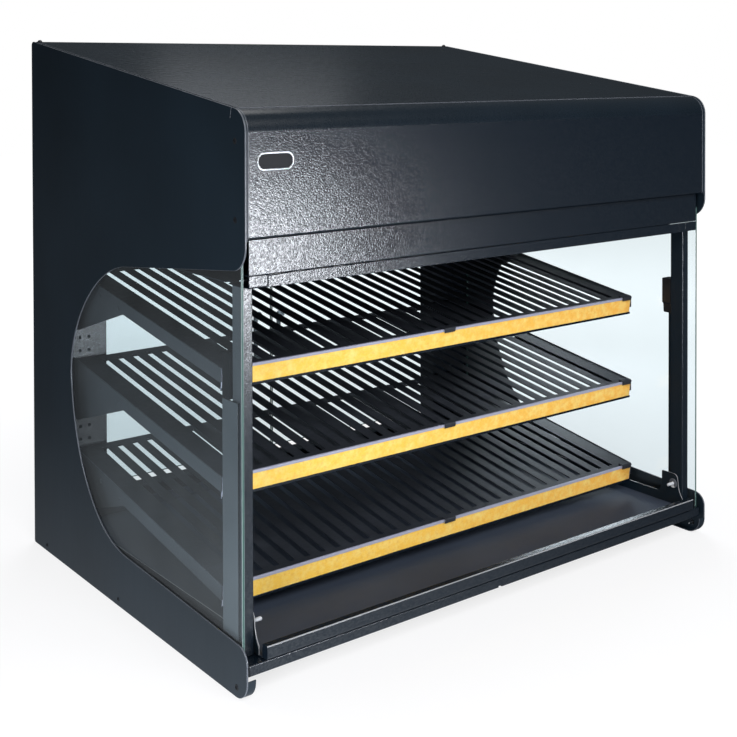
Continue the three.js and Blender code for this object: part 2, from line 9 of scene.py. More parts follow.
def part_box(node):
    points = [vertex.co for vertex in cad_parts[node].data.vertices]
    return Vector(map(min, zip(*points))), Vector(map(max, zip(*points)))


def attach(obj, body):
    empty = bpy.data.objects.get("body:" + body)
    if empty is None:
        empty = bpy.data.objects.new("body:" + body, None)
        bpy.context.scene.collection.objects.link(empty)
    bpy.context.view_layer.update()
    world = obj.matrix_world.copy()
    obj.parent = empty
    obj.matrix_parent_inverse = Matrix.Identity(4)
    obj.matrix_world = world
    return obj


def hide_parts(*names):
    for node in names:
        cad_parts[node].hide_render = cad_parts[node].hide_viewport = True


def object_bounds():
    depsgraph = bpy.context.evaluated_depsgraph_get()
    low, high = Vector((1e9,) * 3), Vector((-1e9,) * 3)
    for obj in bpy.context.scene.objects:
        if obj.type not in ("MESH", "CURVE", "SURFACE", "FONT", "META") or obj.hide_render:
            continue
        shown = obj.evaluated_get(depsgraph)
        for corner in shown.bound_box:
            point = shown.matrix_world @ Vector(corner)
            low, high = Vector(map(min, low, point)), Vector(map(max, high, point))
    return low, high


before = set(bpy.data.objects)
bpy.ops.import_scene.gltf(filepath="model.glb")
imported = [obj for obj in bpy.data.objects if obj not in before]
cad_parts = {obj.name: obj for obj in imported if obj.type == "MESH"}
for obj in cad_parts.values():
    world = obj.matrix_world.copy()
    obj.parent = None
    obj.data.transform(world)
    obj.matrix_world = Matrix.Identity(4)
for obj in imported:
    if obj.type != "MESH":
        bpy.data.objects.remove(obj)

scene = bpy.context.scene
MM = 0.001
cad_low, cad_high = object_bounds()

# -------------------- sizes
Span = namedtuple("Span", "x0 y0 z0 x1 y1 z1")


def span(node):
    """The box of a CAD node, in millimetres from the case's corner."""
    low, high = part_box(node)
    return Span(*((low - cad_low) / MM), *((high - cad_low) / MM))


WIDTH = (cad_high.x - cad_low.x) / MM
DEPTH = (cad_high.y - cad_low.y) / MM
FRONT_TOP = 746.0               # where the roof line would meet the front
ROOF_SLOPE = math.radians(8.39)
SHELF_SLOPE = math.radians(9)
CORNER_RADIUS = 30
FOOT_RADIUS = 26
PANEL_SHEET = 2.5               # side panels
SHEET = 1.5                     # every other folded sheet
CLEAR = 0.3                     # gap between neighbours
EDGE = 0.35                     # rounding of a cut edge
LABEL_HEIGHT = 32.0             # label holders along the shelf fronts

SHELVES = ("top", "middle", "bottom")
SIDES = ("left", "right")
SIDE_SCREWS = {"upper": (24, 708), "lower": (24, 608), "foot": (24.5, 12.7)}


def roof_at(y):
    return FRONT_TOP + y * math.tan(ROOF_SLOPE)


# -------------------- outlines
def rounded(corners, steps=10):
    """An outline through corners (a, b) or (a, b, radius), with each radius as an arc."""
    points = []
    for i, (a, b, *rest) in enumerate(corners):
        here = Vector((a, b))
        if not rest:
            points.append(here)
            continue
        before = (Vector(corners[i - 1][:2]) - here).normalized()
        after = (Vector(corners[(i + 1) % len(corners)][:2]) - here).normalized()
        half = before.angle(after) / 2
        centre = here + (before + after).normalized() * rest[0] / math.sin(half)
        start = here + before * rest[0] / math.tan(half) - centre
        end = here + after * rest[0] / math.tan(half) - centre
        turn = math.atan2(start.x * end.y - start.y * end.x, start.dot(end))
        for k in range(steps + 1):
            points.append(centre + Matrix.Rotation(turn * k / steps, 2) @ start)
    return points


def rectangle(a0, a1, b0, b1, radius, steps=6):
    return rounded([(a0, b0, radius), (a1, b0, radius), (a1, b1, radius), (a0, b1, radius)],
                   steps)


def circle(a, b, radius, sides=32):
    turn = 2 * math.pi / sides
    return [Vector((a + radius * math.cos(k * turn), b + radius * math.sin(k * turn)))
            for k in range(sides)]


def bezier(p0, p1, p2, p3, steps=28):
    points = []
    for k in range(steps + 1):
        t = k / steps
        weights = ((1 - t) ** 3, 3 * t * (1 - t) ** 2, 3 * t * t * (1 - t), t ** 3)
        points.append(tuple(sum(w * p[axis] for w, p in zip(weights, (p0, p1, p2, p3)))
                            for axis in range(2)))
    return points


def shifted(line, distance):
    """An open line moved to its left by a distance."""
    moved = []
    for i, point in enumerate(line):
        arrive = (point - line[max(i - 1, 0)]).normalized()
        leave = (line[min(i + 1, len(line) - 1)] - point).normalized()
        first = arrive if i else leave
        second = leave if i < len(line) - 1 else first
        side = Vector((-first.y - second.y, first.x + second.x)).normalized()
        moved.append(point + side * distance / side.dot(Vector((-first.y, first.x))))
    return moved


def folded(line, thickness=SHEET, skin=0.0):
    """The section of a folded sheet, with its metal on the line's left."""
    return shifted(line, skin) + shifted(line, thickness)[::-1]


# -------------------- meshes
AXES = {
    "x": Matrix(((0, 0, 1), (1, 0, 0), (0, 1, 0))),
    "y": Matrix(((1, 0, 0), (0, 0, -1), (0, 1, 0))),
    "z": Matrix.Identity(3),
}
SEAM = 0.002                    # points closer than this are one point
SMOOTH_ANGLE = math.radians(38)


def mesh_from_curve(curve):
    holder = bpy.data.objects.new("outline", curve)
    scene.collection.objects.link(holder)
    bpy.context.view_layer.update()
    evaluated = holder.evaluated_get(bpy.context.evaluated_depsgraph_get())
    mesh = bpy.data.meshes.new_from_object(evaluated)
    bpy.data.objects.remove(holder)
    bpy.data.curves.remove(curve)
    mesh.materials.clear()
    return mesh


def settled(mesh, matrix=None):
    """Merges doubled points, turns the faces outwards and marks the sharp edges."""
    work = bmesh.new()
    work.from_mesh(mesh)
    bmesh.ops.remove_doubles(work, verts=work.verts, dist=SEAM)
    bmesh.ops.dissolve_degenerate(work, edges=work.edges, dist=SEAM)
    if matrix is not None:
        work.transform(matrix)
    bmesh.ops.recalc_face_normals(work, faces=work.faces)
    for face in work.faces:
        face.smooth = True
    for edge in work.edges:
        edge.smooth = edge.calc_face_angle(0) < SMOOTH_ANGLE
    work.to_mesh(mesh)
    work.free()
    return mesh


def push(outline, axis, start, end, holes=(), edge=EDGE, rounds=1):
    """An outline pushed along an axis into a solid with rounded edges.

    The outline is in (y, z) for axis x, in (x, z) for axis y and in (x, y) for axis z."""
    curve = bpy.data.curves.new("outline", "CURVE")
    curve.dimensions = "2D"
    curve.fill_mode = "BOTH"
    curve.extrude = (end - start) / 2 - edge
    curve.bevel_depth = edge
    curve.bevel_resolution = rounds
    curve.offset = -edge
    for loop in (outline, *holes):
        spline = curve.splines.new("POLY")
        spline.points.add(len(loop) - 1)
        for point, place in zip(spline.points, loop):
            point.co = (place[0], place[1], 0, 1)
        spline.use_cyclic_u = True
    middle = Vector((0, 0, 0))
    middle["xyz".index(axis)] = (start + end) / 2
    return settled(mesh_from_curve(curve), Matrix.Translation(middle) @ AXES[axis].to_4x4())


def block(x0, x1, y0, y1, z0, z1, radius=0.6, edge=EDGE):
    """A small moulded or machined block with rounded corners and edges."""
    return push(rectangle(x0, x1, y0, y1, radius, 4), "z", z0, z1, edge=edge)


def sweep(points, radius, sides=5):
    """A round bar along a smooth path, closed at both ends."""
    curve = bpy.data.curves.new("path", "CURVE")
    curve.dimensions = "3D"
    curve.bevel_depth = radius
    curve.bevel_resolution = sides
    curve.use_fill_caps = True
    curve.resolution_u = 6
    spline = curve.splines.new("NURBS")
    spline.points.add(len(points) - 1)
    for point, place in zip(spline.points, points):
        point.co = (*place, 1)
    spline.order_u = 4
    spline.use_endpoint_u = True
    return settled(mesh_from_curve(curve))


def flat_sided(angle, radius, corners=0):
    """Reach of a round section or, with corners, of the regular polygon round it."""
    if not corners:
        return radius
    part = 2 * math.pi / corners
    return radius / math.cos((angle + part / 2) % part - part / 2)


def turned(profile, sides=32, reach=flat_sided):
    """A solid turned round z from points (radius, z), or (radius, z, more) with more for reach."""
    work = bmesh.new()
    rings = []
    for radius, height, *more in profile:
        if radius == 0:
            rings.append([work.verts.new((0, 0, height))])
            continue
        ring = []
        for k in range(sides):
            angle = 2 * math.pi * k / sides
            across = reach(angle, radius, *more)
            ring.append(work.verts.new((across * math.cos(angle), across * math.sin(angle), height)))
        rings.append(ring)
    for lower, upper in zip(rings, rings[1:]):
        for k in range(sides):
            corners = [lower[k % len(lower)], lower[(k + 1) % len(lower)],
                       upper[(k + 1) % len(upper)], upper[k % len(upper)]]
            work.faces.new(dict.fromkeys(corners))
    mesh = bpy.data.meshes.new("turned")
    work.to_mesh(mesh)
    work.free()
    return settled(mesh)


def moved(mesh, matrix):
    mesh.transform(matrix)
    return mesh


def at(x, y, z, turn=0.0, axis="Y"):
    """Turns about an axis through the origin, then moves to a place."""
    return Matrix.Translation((x, y, z)) @ Matrix.Rotation(turn, 4, axis)


def joined(*meshes):
    work = bmesh.new()
    for mesh in meshes:
        work.from_mesh(mesh)
    whole = bpy.data.meshes.new("joined")
    work.to_mesh(whole)
    work.free()
    return whole


def paint(mesh, index, chosen=lambda centre, normal: True):
    """Gives a material index to the faces for which chosen(centre, normal) is true."""
    for face in mesh.polygons:
        if chosen(face.center, face.normal):
            face.material_index = index
    return mesh


def put(name, mesh, materials, node=None, body="cabinet", mirror=False):
    """Adds a mesh drawn in millimetres as a piece of the object, which may replace a CAD node."""
    matrix = Matrix.Translation(cad_low) @ Matrix.Scale(MM, 4)
    if mirror:
        matrix = matrix @ Matrix.Translation((WIDTH, 0, 0)) @ Matrix.Scale(-1, 4, (1, 0, 0))
    mesh.transform(matrix)
    if mirror:
        mesh.flip_normals()
    for material in materials:
        mesh.materials.append(material)
    piece = bpy.data.objects.new(name, mesh)
    scene.collection.objects.link(piece)
    shading = piece.modifiers.new("even_shading", "WEIGHTED_NORMAL")
    shading.keep_sharp = True
    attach(piece, body)
    if node:
        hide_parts(node)


def single(node, mesh, materials, body="cabinet"):
    put(f"{node}_fine", mesh, materials, node, body=body)


def put_pair(stem, mesh, materials, bodies=("cabinet", "cabinet"), slot=None):
    """The left and the right copy of a piece.

    Each replaces its own CAD node or, when a slot is given, is an addition to the CAD."""
    for side, body, copy in zip(SIDES, bodies, (mesh, mesh.copy())):
        name = f"{stem}_{side}"
        if slot:
            put(name, copy, materials, body=body, mirror=side == "right")
        else:
            put(f"{name}_fine", copy, materials, name, body=body, mirror=side == "right")


# -------------------- materials
class Shader:
    """The nodes of a material or world under construction. Texture sizes are in millimetres."""

    def __init__(self, name, owners=bpy.data.materials):
        self.owner = owners.new(name)
        self.owner.use_nodes = True
        self.tree = self.owner.node_tree
        self.tree.nodes.clear()
        self.place = self.vector("SCALE", {0: self.node("TexCoord").outputs["Object"], "Scale": 1 / MM})

    def feed(self, socket, value):
        if isinstance(value, bpy.types.NodeSocket):
            self.tree.links.new(value, socket)
        else:
            socket.default_value = value

    def node(self, kind, inputs=None, **settings):
        node = self.tree.nodes.new("ShaderNode" + kind)
        for key, value in settings.items():
            setattr(node, key, value)
        for key, value in (inputs or {}).items():
            self.feed(node.inputs[key], value)
        return node

    def vector(self, operation, inputs):
        return self.node("VectorMath", inputs, operation=operation).outputs["Vector"]

    def distance(self, vector, place):
        node = self.node("VectorMath", {0: vector, 1: place}, operation="DISTANCE")
        return node.outputs["Value"]

    def stretched(self, x, y, z):
        return self.vector("MULTIPLY", {0: self.place, 1: (x, y, z)})

    def component(self, vector, name):
        return self.node("SeparateXYZ", {"Vector": vector}).outputs[name]

    def noise(self, size, detail=3.0, roughness=0.5, vector=None, output="Fac"):
        node = self.node("TexNoise", {"Vector": vector or self.place, "Scale": 1 / size,
                                      "Detail": detail, "Roughness": roughness})
        return node.outputs[output]

    def cells(self, size, output="Distance", vector=None):
        node = self.node("TexVoronoi", {"Vector": vector or self.place, "Scale": 1 / size})
        return node.outputs[output]

    def per_cell(self, size, vector=None):
        """A random number from 0 to 1 for each cell."""
        colour = self.cells(size, "Color", vector)
        return self.node("SeparateColor", {"Color": colour}).outputs["Red"]

    def math(self, operation, a, b=0.0):
        return self.node("Math", {0: a, 1: b}, operation=operation).outputs[0]

    def spread(self, value, low, high, new_low=0.0, new_high=1.0):
        node = self.node("MapRange", {"Value": value, "From Min": low, "From Max": high,
                                      "To Min": new_low, "To Max": new_high})
        return node.outputs["Result"]

    def mix(self, factor, a, b):
        """A colour between a and b, which are sockets or (red, green, blue)."""
        a, b = (c if isinstance(c, bpy.types.NodeSocket) else (*c, 1) for c in (a, b))
        return self.node("Mix", {"Factor": factor, 6: a, 7: b}, data_type="RGBA").outputs[2]

    def bump(self, height, depth):
        return self.node("Bump", {"Height": height, "Distance": depth * MM}).outputs["Normal"]

    def blend(self, factor, first, second):
        return self.node("MixShader", {0: factor, 1: first.outputs[0], 2: second.outputs[0]})

    def output(self, shader, kind="OutputMaterial"):
        self.feed(self.node(kind).inputs["Surface"], shader.outputs[0])
        return self.owner

    def finish(self, **inputs):
        """Ends the material with a surface of these inputs, named with _ for each space."""
        values = {key.replace("_", " "): (*value, 1) if isinstance(value, tuple) else value
                  for key, value in inputs.items()}
        return self.output(self.node("BsdfPrincipled", values))


def satin_paint(name, colour, roughness=0.38, painted_highlight=0.0, gloss=0.5):
    """Powder coat with a fine orange peel, faint handling marks and, if asked, a paler tone that is a
    painted highlight.
    """
    s = Shader(name)
    peel = s.noise(1.6, 2)
    clouds = s.noise(160, 3)
    rubs = s.noise(9, 4, vector=s.stretched(1, 1, 0.12))
    # The extra tone argument lifts the colour paler, as a painted highlight.
    tone = s.spread(clouds, 0.3, 0.7, 0.88 + painted_highlight, 1.14 + painted_highlight)
    rough = s.math("ADD", s.spread(rubs, 0.35, 0.75, roughness - 0.01, roughness + 0.015),
                   s.spread(peel, 0.3, 0.7, -0.02, 0.02))
    return s.finish(Base_Color=s.vector("SCALE", {0: colour, "Scale": tone}), Roughness=rough,
                    Specular_IOR_Level=gloss, Normal=s.bump(peel, 0.014))


def hammered_paint(name, dark, light, cell=2.4, depth=0.07):
    """Hammertone coat: soft dimples whose low rims are painted darker as shade, each dimple with a gloss
    of its own.
    """
    s = Shader(name)
    nudge = s.vector("SCALE", {0: s.noise(5, 2, output="Color"), "Scale": 0.8})
    wavy = s.vector("ADD", {0: s.place, 1: nudge})
    crown = s.math("SUBTRACT", 1.0, s.spread(s.cells(cell, vector=wavy), 0.1, 0.65))
    gloss = s.spread(s.per_cell(cell, wavy), 0, 1, 0.58, 1.22)
    # The colour follows the bump: crowns paler, low rims darker, as painted shade.
    return s.finish(Base_Color=s.mix(crown, dark, light), Roughness=0.235,
                    Specular_IOR_Level=gloss, Normal=s.bump(crown, depth))


def pressed_paint(name, colour, roughness=0.42):
    """Plain satin coat over pressed steel, with a faint rolling grain and a little dust."""
    s = Shader(name)
    grain = s.noise(2.2, 3, vector=s.stretched(0.2, 1, 1))
    dust = s.spread(s.noise(45, 5, 0.7), 0.45, 0.8)
    return s.finish(
        Base_Color=s.mix(s.math("MULTIPLY", dust, 0.35), colour, tuple(3.2 * c for c in colour)),
        Roughness=s.spread(grain, 0.3, 0.7, roughness - 0.05, roughness + 0.07),
        Normal=s.bump(grain, 0.03))


def clear_glass(ior=1.45, reflection=0.55):
    """Sheet glass seen face on: a faint cool tint, a mirror sheen and a thin film of haze."""
    s = Shader("clear_glass")
    smudge = s.spread(s.noise(70, 4, 0.6), 0.35, 0.8, 0.01, 0.05)
    through = s.node("BsdfTransparent", {"Color": (0.885, 0.93, 0.942, 1)})
    shine = s.node("BsdfGlossy", {"Color": (1, 1, 1, 1), "Roughness": smudge})
    # The ray passes straight through, so a back face has to mirror like a front face.
    behind = s.node("NewGeometry").outputs["Backfacing"]
    rim = s.node("Fresnel", {"IOR": s.spread(behind, 0, 1, ior, 1 / ior)}).outputs[0]
    face = s.blend(s.math("MULTIPLY", rim, reflection), through, shine)
    film = s.node("BsdfDiffuse", {"Color": (0.8, 0.84, 0.88, 1)})
    haze = s.spread(s.noise(90, 3), 0.3, 0.7, 0.012, 0.022)
    return s.output(s.blend(haze, face, film))


def glass_rim(name, grain, dark, pale, roughness, depth, glow=0.0):
    """Ground or polished rim of sheet glass, with fine grinding lines along it and, if asked, a faint
    green glow that is painted light.
    """
    s = Shader(name)
    lines = s.noise(grain, 2, vector=s.stretched(3, 3, 0.05))
    # The emission is painted light: a faint green glow on the rim.
    return s.finish(Base_Color=s.mix(s.spread(lines, 0.3, 0.7), dark, pale), Roughness=roughness,
                    Normal=s.bump(lines, depth), Emission_Color=(0.04, 0.12, 0.1),
                    Emission_Strength=glow)


def bright_steel(colour=(0.62, 0.64, 0.66)):
    """Brushed steel with fine lines along x."""
    s = Shader("bright_steel")
    brush = s.noise(0.5, 4, 0.65, vector=s.stretched(0.06, 1, 1))
    return s.finish(
        Base_Color=s.mix(s.spread(brush, 0.3, 0.7), tuple(0.82 * c for c in colour), colour),
        Metallic=1.0, Roughness=s.spread(brush, 0.3, 0.7, 0.2, 0.36),
        Normal=s.bump(brush, 0.012))


def galvanised_steel():
    """Zinc spangle: angular crystals that differ in tone and sheen."""
    s = Shader("galvanised_steel")
    crystal = s.per_cell(11)
    return s.finish(
        Base_Color=s.mix(crystal, (0.36, 0.38, 0.4), (0.58, 0.6, 0.62)),
        Metallic=0.95, Roughness=s.spread(crystal, 0, 1, 0.34, 0.56),
        Normal=s.bump(s.noise(3, 3), 0.03))


def moulded_plastic(name, colour, roughness=0.4):
    """Moulded plastic with a fine spark-eroded texture."""
    s = Shader(name)
    wear = s.spread(s.noise(14, 4, 0.6), 0.4, 0.75)
    return s.finish(
        Base_Color=s.mix(wear, colour, tuple(min(1.0, 1.5 * c + 0.004) for c in colour)),
        Roughness=s.spread(wear, 0, 1, roughness, roughness + 0.12),
        Normal=s.bump(s.cells(0.55), 0.03))


def channel_plastic():
    """Silver-grey extrusion with fine die lines along its length."""
    s = Shader("channel_plastic")
    lines = s.noise(0.8, 3, vector=s.stretched(0.01, 1, 1))
    scuffs = s.spread(s.noise(12, 5, 0.7), 0.5, 0.8)
    colour = s.mix(s.spread(lines, 0.3, 0.7), (0.34, 0.35, 0.46), (0.42, 0.43, 0.55))
    return s.finish(
        Base_Color=s.mix(s.math("MULTIPLY", scuffs, 0.4), colour, (0.4, 0.41, 0.47)),
        Metallic=0.1, Roughness=s.spread(scuffs, 0, 1, 0.28, 0.42),
        Normal=s.bump(lines, 0.02))


def label_strip():
    """Blank printed strip: yellow parchment with soft cloudy mottling and paper fibres, painted paler at
    the left and deeper orange at the right as painted light.
    """
    s = Shader("label_strip")
    clouds = s.noise(16, 6, 0.62)
    blotch = s.math("MULTIPLY", s.spread(s.noise(5, 4, 0.7), 0.5, 0.75), 0.55)
    fibres = s.noise(1.2, 4, 0.7, vector=s.stretched(0.35, 1, 1))
    # Painted light: the strip is paler towards the left, where the light falls, and deeper orange towards
    # the right.
    along = s.math("MULTIPLY", s.spread(s.component(s.place, "X"), -200, 420), 0.8)
    warm = s.mix(along, (0.93, 0.56, 0.07), (0.9, 0.42, 0.06))
    pale = s.mix(s.spread(clouds, 0.42, 0.68), warm, (0.94, 0.68, 0.19))
    stained = s.mix(blotch, pale, (0.72, 0.33, 0.06))
    threads = s.math("MULTIPLY", s.spread(fibres, 0.45, 0.8), 0.25)
    return s.finish(Base_Color=s.mix(threads, stained, (1, 0.8, 0.42)), Roughness=0.5,
                    Specular_IOR_Level=0.35, Normal=s.bump(fibres, 0.02))


def lamp_tube():
    """Frosted tube with a faint warm light."""
    s = Shader("lamp_tube")
    frost = s.noise(0.8, 3)
    return s.finish(Base_Color=(0.86, 0.84, 0.78), Roughness=s.spread(frost, 0.3, 0.7, 0.3, 0.45),
                    Emission_Color=(1, 0.93, 0.8), Emission_Strength=0.35,
                    Normal=s.bump(frost, 0.01))


def cord_rubber():
    """Matt rubber with an uneven skin."""
    s = Shader("cord_rubber")
    skin = s.noise(1.3, 4, 0.6)
    colour = s.mix(s.spread(skin, 0.3, 0.75), (0.008, 0.008, 0.009), (0.022, 0.022, 0.024))
    return s.finish(Base_Color=colour, Roughness=s.spread(skin, 0.3, 0.7, 0.55, 0.75),
                    Normal=s.bump(skin, 0.05))


def printed(name, colour):
    """Ink on a control, nearly flat in tone."""
    s = Shader(name)
    return s.finish(Base_Color=s.mix(s.noise(0.8, 2), tuple(0.9 * c for c in colour), colour),
                    Roughness=0.45)


SATIN = satin_paint("satin_panel", (0.009, 0.017, 0.026))
# Paler grey for the posts' outer sides: painted light on the side that faces the light.
POST_SIDE_LIT = satin_paint("satin_post_lit", (0.11, 0.118, 0.132), 0.45)
SHADED = satin_paint("satin_shaded", (0.003, 0.010, 0.018), 0.68)
# Paler grey painted on the brackets' outer sides as painted light; it is also the colour of the pin heads.
BRACKET = satin_paint("satin_bracket", (0.09, 0.096, 0.11), 0.5)
# Pale grey for the lip's hem and the pan walls' front edges: a painted highlight along them.
HEM_HIGHLIGHT = satin_paint("satin_hem_highlight", (0.3, 0.305, 0.32), 0.3)
ROOF = satin_paint("satin_roof", (0.006, 0.011, 0.017), 0.28)
# Paler colour for cut edges, steps and end strips: a painted highlight along them.
EDGE_HIGHLIGHT = satin_paint("satin_edge_highlight", (0.075, 0.082, 0.096), 0.28, painted_highlight=0.4)
PAN = satin_paint("satin_pan", (0.044, 0.056, 0.082), 0.6, gloss=0.25)
PLATE = satin_paint("satin_badge", (0.022, 0.023, 0.026), 0.5, gloss=0.15)
PIN_STEEL = satin_paint("plated_pin", (0.55, 0.57, 0.6), 0.25)
HAMMERED = hammered_paint("hammered_paint", (0.004, 0.008, 0.014), (0.007, 0.012, 0.019))
PRESSED = pressed_paint("pressed_black", (0.020, 0.023, 0.030))
GLASS = clear_glass()
# The glass edge is given a faint glow: painted light along the green rim.
GLASS_EDGE = glass_rim("glass_edge", 0.7, (0.010, 0.044, 0.038), (0.022, 0.072, 0.062), 0.22, 0.02, 0.15)
GLASS_ARRIS = glass_rim("glass_arris", 0.9, (0.14, 0.19, 0.185), (0.19, 0.25, 0.24), 0.18, 0.01)
STEEL = bright_steel()
ZINC = galvanised_steel()
PLASTIC = moulded_plastic("black_plastic", (0.007, 0.008, 0.010))
RED = moulded_plastic("switch_red", (0.45, 0.010, 0.014), 0.22)
CHANNEL = channel_plastic()
LABEL = label_strip()
LAMP = lamp_tube()
RUBBER = cord_rubber()
WHITE_INK = printed("white_ink", (0.82, 0.83, 0.84))


# -------------------- fasteners
def dome(radius, rise, steps=6):
    """Profile points of a flat dome that faces -z, from its rim towards its crown."""
    quarter = math.pi / 2 / steps
    return [(radius * math.cos(k * quarter), -rise * math.sin(k * quarter)) for k in range(steps)]


def screw(head=4.5, rise=1.2, shaft=2.0, length=11.0):
    """Button head screw with a hexagon socket; its head points to -z and sits on z = 0."""
    crown = [point for point in dome(head, rise) if point[0] > head * 0.5]
    return turned([(0, length), (shaft - 0.6, length), (shaft, length - 0.8), (shaft, 0.6),
                   (head - 0.3, 0.6), (head, 0.3), *crown, (head * 0.46, -rise, 6),
                   (head * 0.44, -rise + 0.9, 6), (0, -rise + 1.1)], 24)


def rivet(radius=3.2, rise=1.4):
    return turned([(0, 0.8), (radius, 0.8), *dome(radius, rise), (0, -rise)], 24)


def side_screws():
    for name, (y, z) in SIDE_SCREWS.items():
        mesh = moved(screw(), at(0.4, y, z, math.pi / 2))
        paint(mesh, 1, lambda centre, normal: centre.x > 1.2)
        put_pair(f"side_screw_{name}", mesh, [PLASTIC, STEEL])


# -------------------- casing
def side_panel():
    """Cut-out sheet with an inward flange round the foot and another round the hood."""
    window = (bezier((333, 509), (425, 498.8), (524, 408), (524, 316))
              + bezier((524, 316), (518, 200), (450, 86), (336, 81))[1:])
    ear_bottom, foot_top, slit_bottom = 546, 67.2, roof_at(32.4) - 14
    slit = [(32.4, roof_at(32.4)), (35.6, slit_bottom), (34.5, slit_bottom), (31.2, roof_at(31.2))]
    profile = rounded([(0, 0, FOOT_RADIUS), (DEPTH, 0, 4), (DEPTH, roof_at(DEPTH), 7), *slit,
                       (0, roof_at(0), CORNER_RADIUS), (0, ear_bottom, 33), *window,
                       (0, foot_top, 20)], 14)
    holes = [circle(y, z, 4.0) for y, z in SIDE_SCREWS.values()]
    skin = push(profile, "x", 0, PANEL_SHEET, holes, edge=0.6, rounds=2)
    # The panel's cut edges get the paler edge colour, a painted highlight.
    paint(skin, 1, lambda centre, normal: abs(normal.x) < 0.8)
    foot_line = rounded([(0, 28), (0, 0, FOOT_RADIUS), (DEPTH - 8, 0)], 14)
    hood_line = rounded([(DEPTH - 10, roof_at(DEPTH - 10)), (0, roof_at(0), CORNER_RADIUS),
                         (0, 582)], 14)
    foot = push(folded(foot_line, skin=0.05), "x", 1.2, 14)
    hood = push(folded(hood_line, 2.5, 1.3), "x", 1.2, 5)
    # The foot flange's cut edge gets the same painted highlight.
    paint(foot, 1, lambda centre, normal: abs(normal.x) > 0.8)
    return joined(skin, foot, hood)


def hood_shell():
    """Hammered fascia with a rounded top, and the satin roof that laps it with a thin step; the step and
    two thin end strips are painted pale as highlights.
    """
    shell = span("hood_shell")
    seam, step, rim = 27.6, 1.1, 1.4
    line = rounded([(14, shell.z0), (2, shell.z0, 3), (2, roof_at(2) - step, CORNER_RADIUS - 1),
                    (seam, roof_at(seam) - step), (seam, roof_at(seam)),
                    (DEPTH - 4, roof_at(DEPTH - 4), 4), (DEPTH - 4, roof_at(DEPTH - 4) - 24)], 16)
    line.reverse()
    mesh = push(folded(line), "x", shell.x0, shell.x1)
    paint(mesh, 1, lambda centre, normal: normal.z > 0.04)
    # The seam's step face and the two end strips are painted in the paler edge colour, as painted
    # highlights.
    paint(mesh, 2, lambda centre, normal: abs(centre.y - seam) < 0.6 and normal.y < -0.4)
    strips = [paint(push(folded(line, skin=-0.25), "x", x, x + rim, edge=0.4), 2)
              for x in (shell.x0, shell.x1 - rim)]
    return joined(mesh, *strips)


def hood_front_band():
    band = span("hood_front_band")
    line = rounded([(40, band.z1), (band.y0, band.z1, 2), (band.y0, band.z0, 2), (24, band.z0)], 6)
    return push(folded(line), "x", band.x0, band.x1)


def air_nozzle():
    """Open trough across the front, with a row of outlet slots in its floor."""
    box = span("air_nozzle")
    count = 24
    pitch = (box.x1 - box.x0 - 20) / count
    slots = [rectangle(x + 0.14 * pitch, x + 0.86 * pitch, 20, box.y1 - 8, 4)
             for x in (box.x0 + 10 + i * pitch for i in range(count))]
    floor = push(rectangle(box.x0, box.x1, box.y0 + 0.4, box.y1, 0.5), "z",
                 box.z0 + 0.05, box.z0 + SHEET, slots, 0.25)
    wall = rectangle(box.x0, box.x1, box.z0, box.z1, 0.5)
    front = push(wall, "y", box.y0, box.y0 + SHEET, edge=0.5)
    back = push(wall, "y", box.y1 - SHEET, box.y1, edge=0.5)
    return joined(front, back, floor)


def nozzle_end():
    box = span("nozzle_end_left")
    line = rounded([(box.y0, box.z1), (box.y0, box.z0, 2.2), (box.y1, box.z0)], 8)
    return push(folded(line), "x", box.x0, box.x1, edge=0.5)


def outlet_block():
    """Small cover plate that laps the joint between the outlet rail and its end block."""
    box = span("air_nozzle")
    return push(rectangle(box.x0 + 0.8, box.x0 + 18, box.z0 + 0.4, box.z1 - 0.4, 1), "y",
                box.y0 - 1.0, box.y0 + 0.4)


def badge():
    """Blank dark plate on the fascia, with a raised bright rim."""
    x, z, half_width, half_height, radius, face = 47, 682, 28, 11.5, 11, span("hood_shell").y0

    def outline(inset):
        wide, tall = half_width - inset, half_height - inset
        return rectangle(x - wide, x + wide, z - tall, z + tall, radius - inset)

    rim = paint(push(outline(0), "y", face - 1.2, face + 0.3, [outline(2)], 0.4), 1)
    return joined(rim, push(outline(1), "y", face - 0.7, face + 0.3, edge=0.2))


def roof_screw():
    """Screw standing on the roof flange near the rear corner."""
    y = DEPTH - 9
    return moved(screw(4.0, 2.8, 1.6, 6), at(11, y, roof_at(y) + 0.1, math.pi - ROOF_SLOPE, "X"))


def edge_screw(y):
    """Screw through the side panel low at the base."""
    return moved(screw(3.2, 1.2, 1.6, 8), at(0.2, y, 10, math.pi / 2))


# -------------------- glass and posts
def side_glass():
    pane = span("side_glass_left")
    mesh = push(rectangle(pane.y0, pane.y1, pane.z0, pane.z1, 3), "x", pane.x0, pane.x1, edge=1.4)
    paint(mesh, 1, lambda centre, normal: abs(normal.x) < 0.9)
    return paint(mesh, 2, lambda centre, normal: 0.3 < abs(normal.x) < 0.9)


def front_post():
    """Square tube with the flange behind the side glass, its outer side painted paler as painted light and
    its inner side dark as painted shade.
    """
    post = span("front_post_left")
    front, back, outside, wall = 26.5, 52.0, 12.0, 1.5
    tube = push(rectangle(outside, post.x1, front, back, 1.6), "z", post.z0, post.z1,
                [rectangle(outside + wall, post.x1 - wall, front + wall, back - wall, 0.6)],
                edge=0.3)
    flange = push(rectangle(post.x0, post.x0 + 2.5, front + 6, post.y1, 0.5), "z", 66, 372)
    bridge = push(rectangle(post.x0 + 0.6, outside + 1, front + 6, front + 9, 0.3), "z",
                  66.5, 371.5)
    mesh = joined(tube, flange, bridge)
    # The outer side is painted paler as painted light, the inner side dark as painted shade.
    paint(mesh, 1, lambda centre, normal: normal.x < -0.5)
    return paint(mesh, 2, lambda centre, normal: normal.x > 0.5)


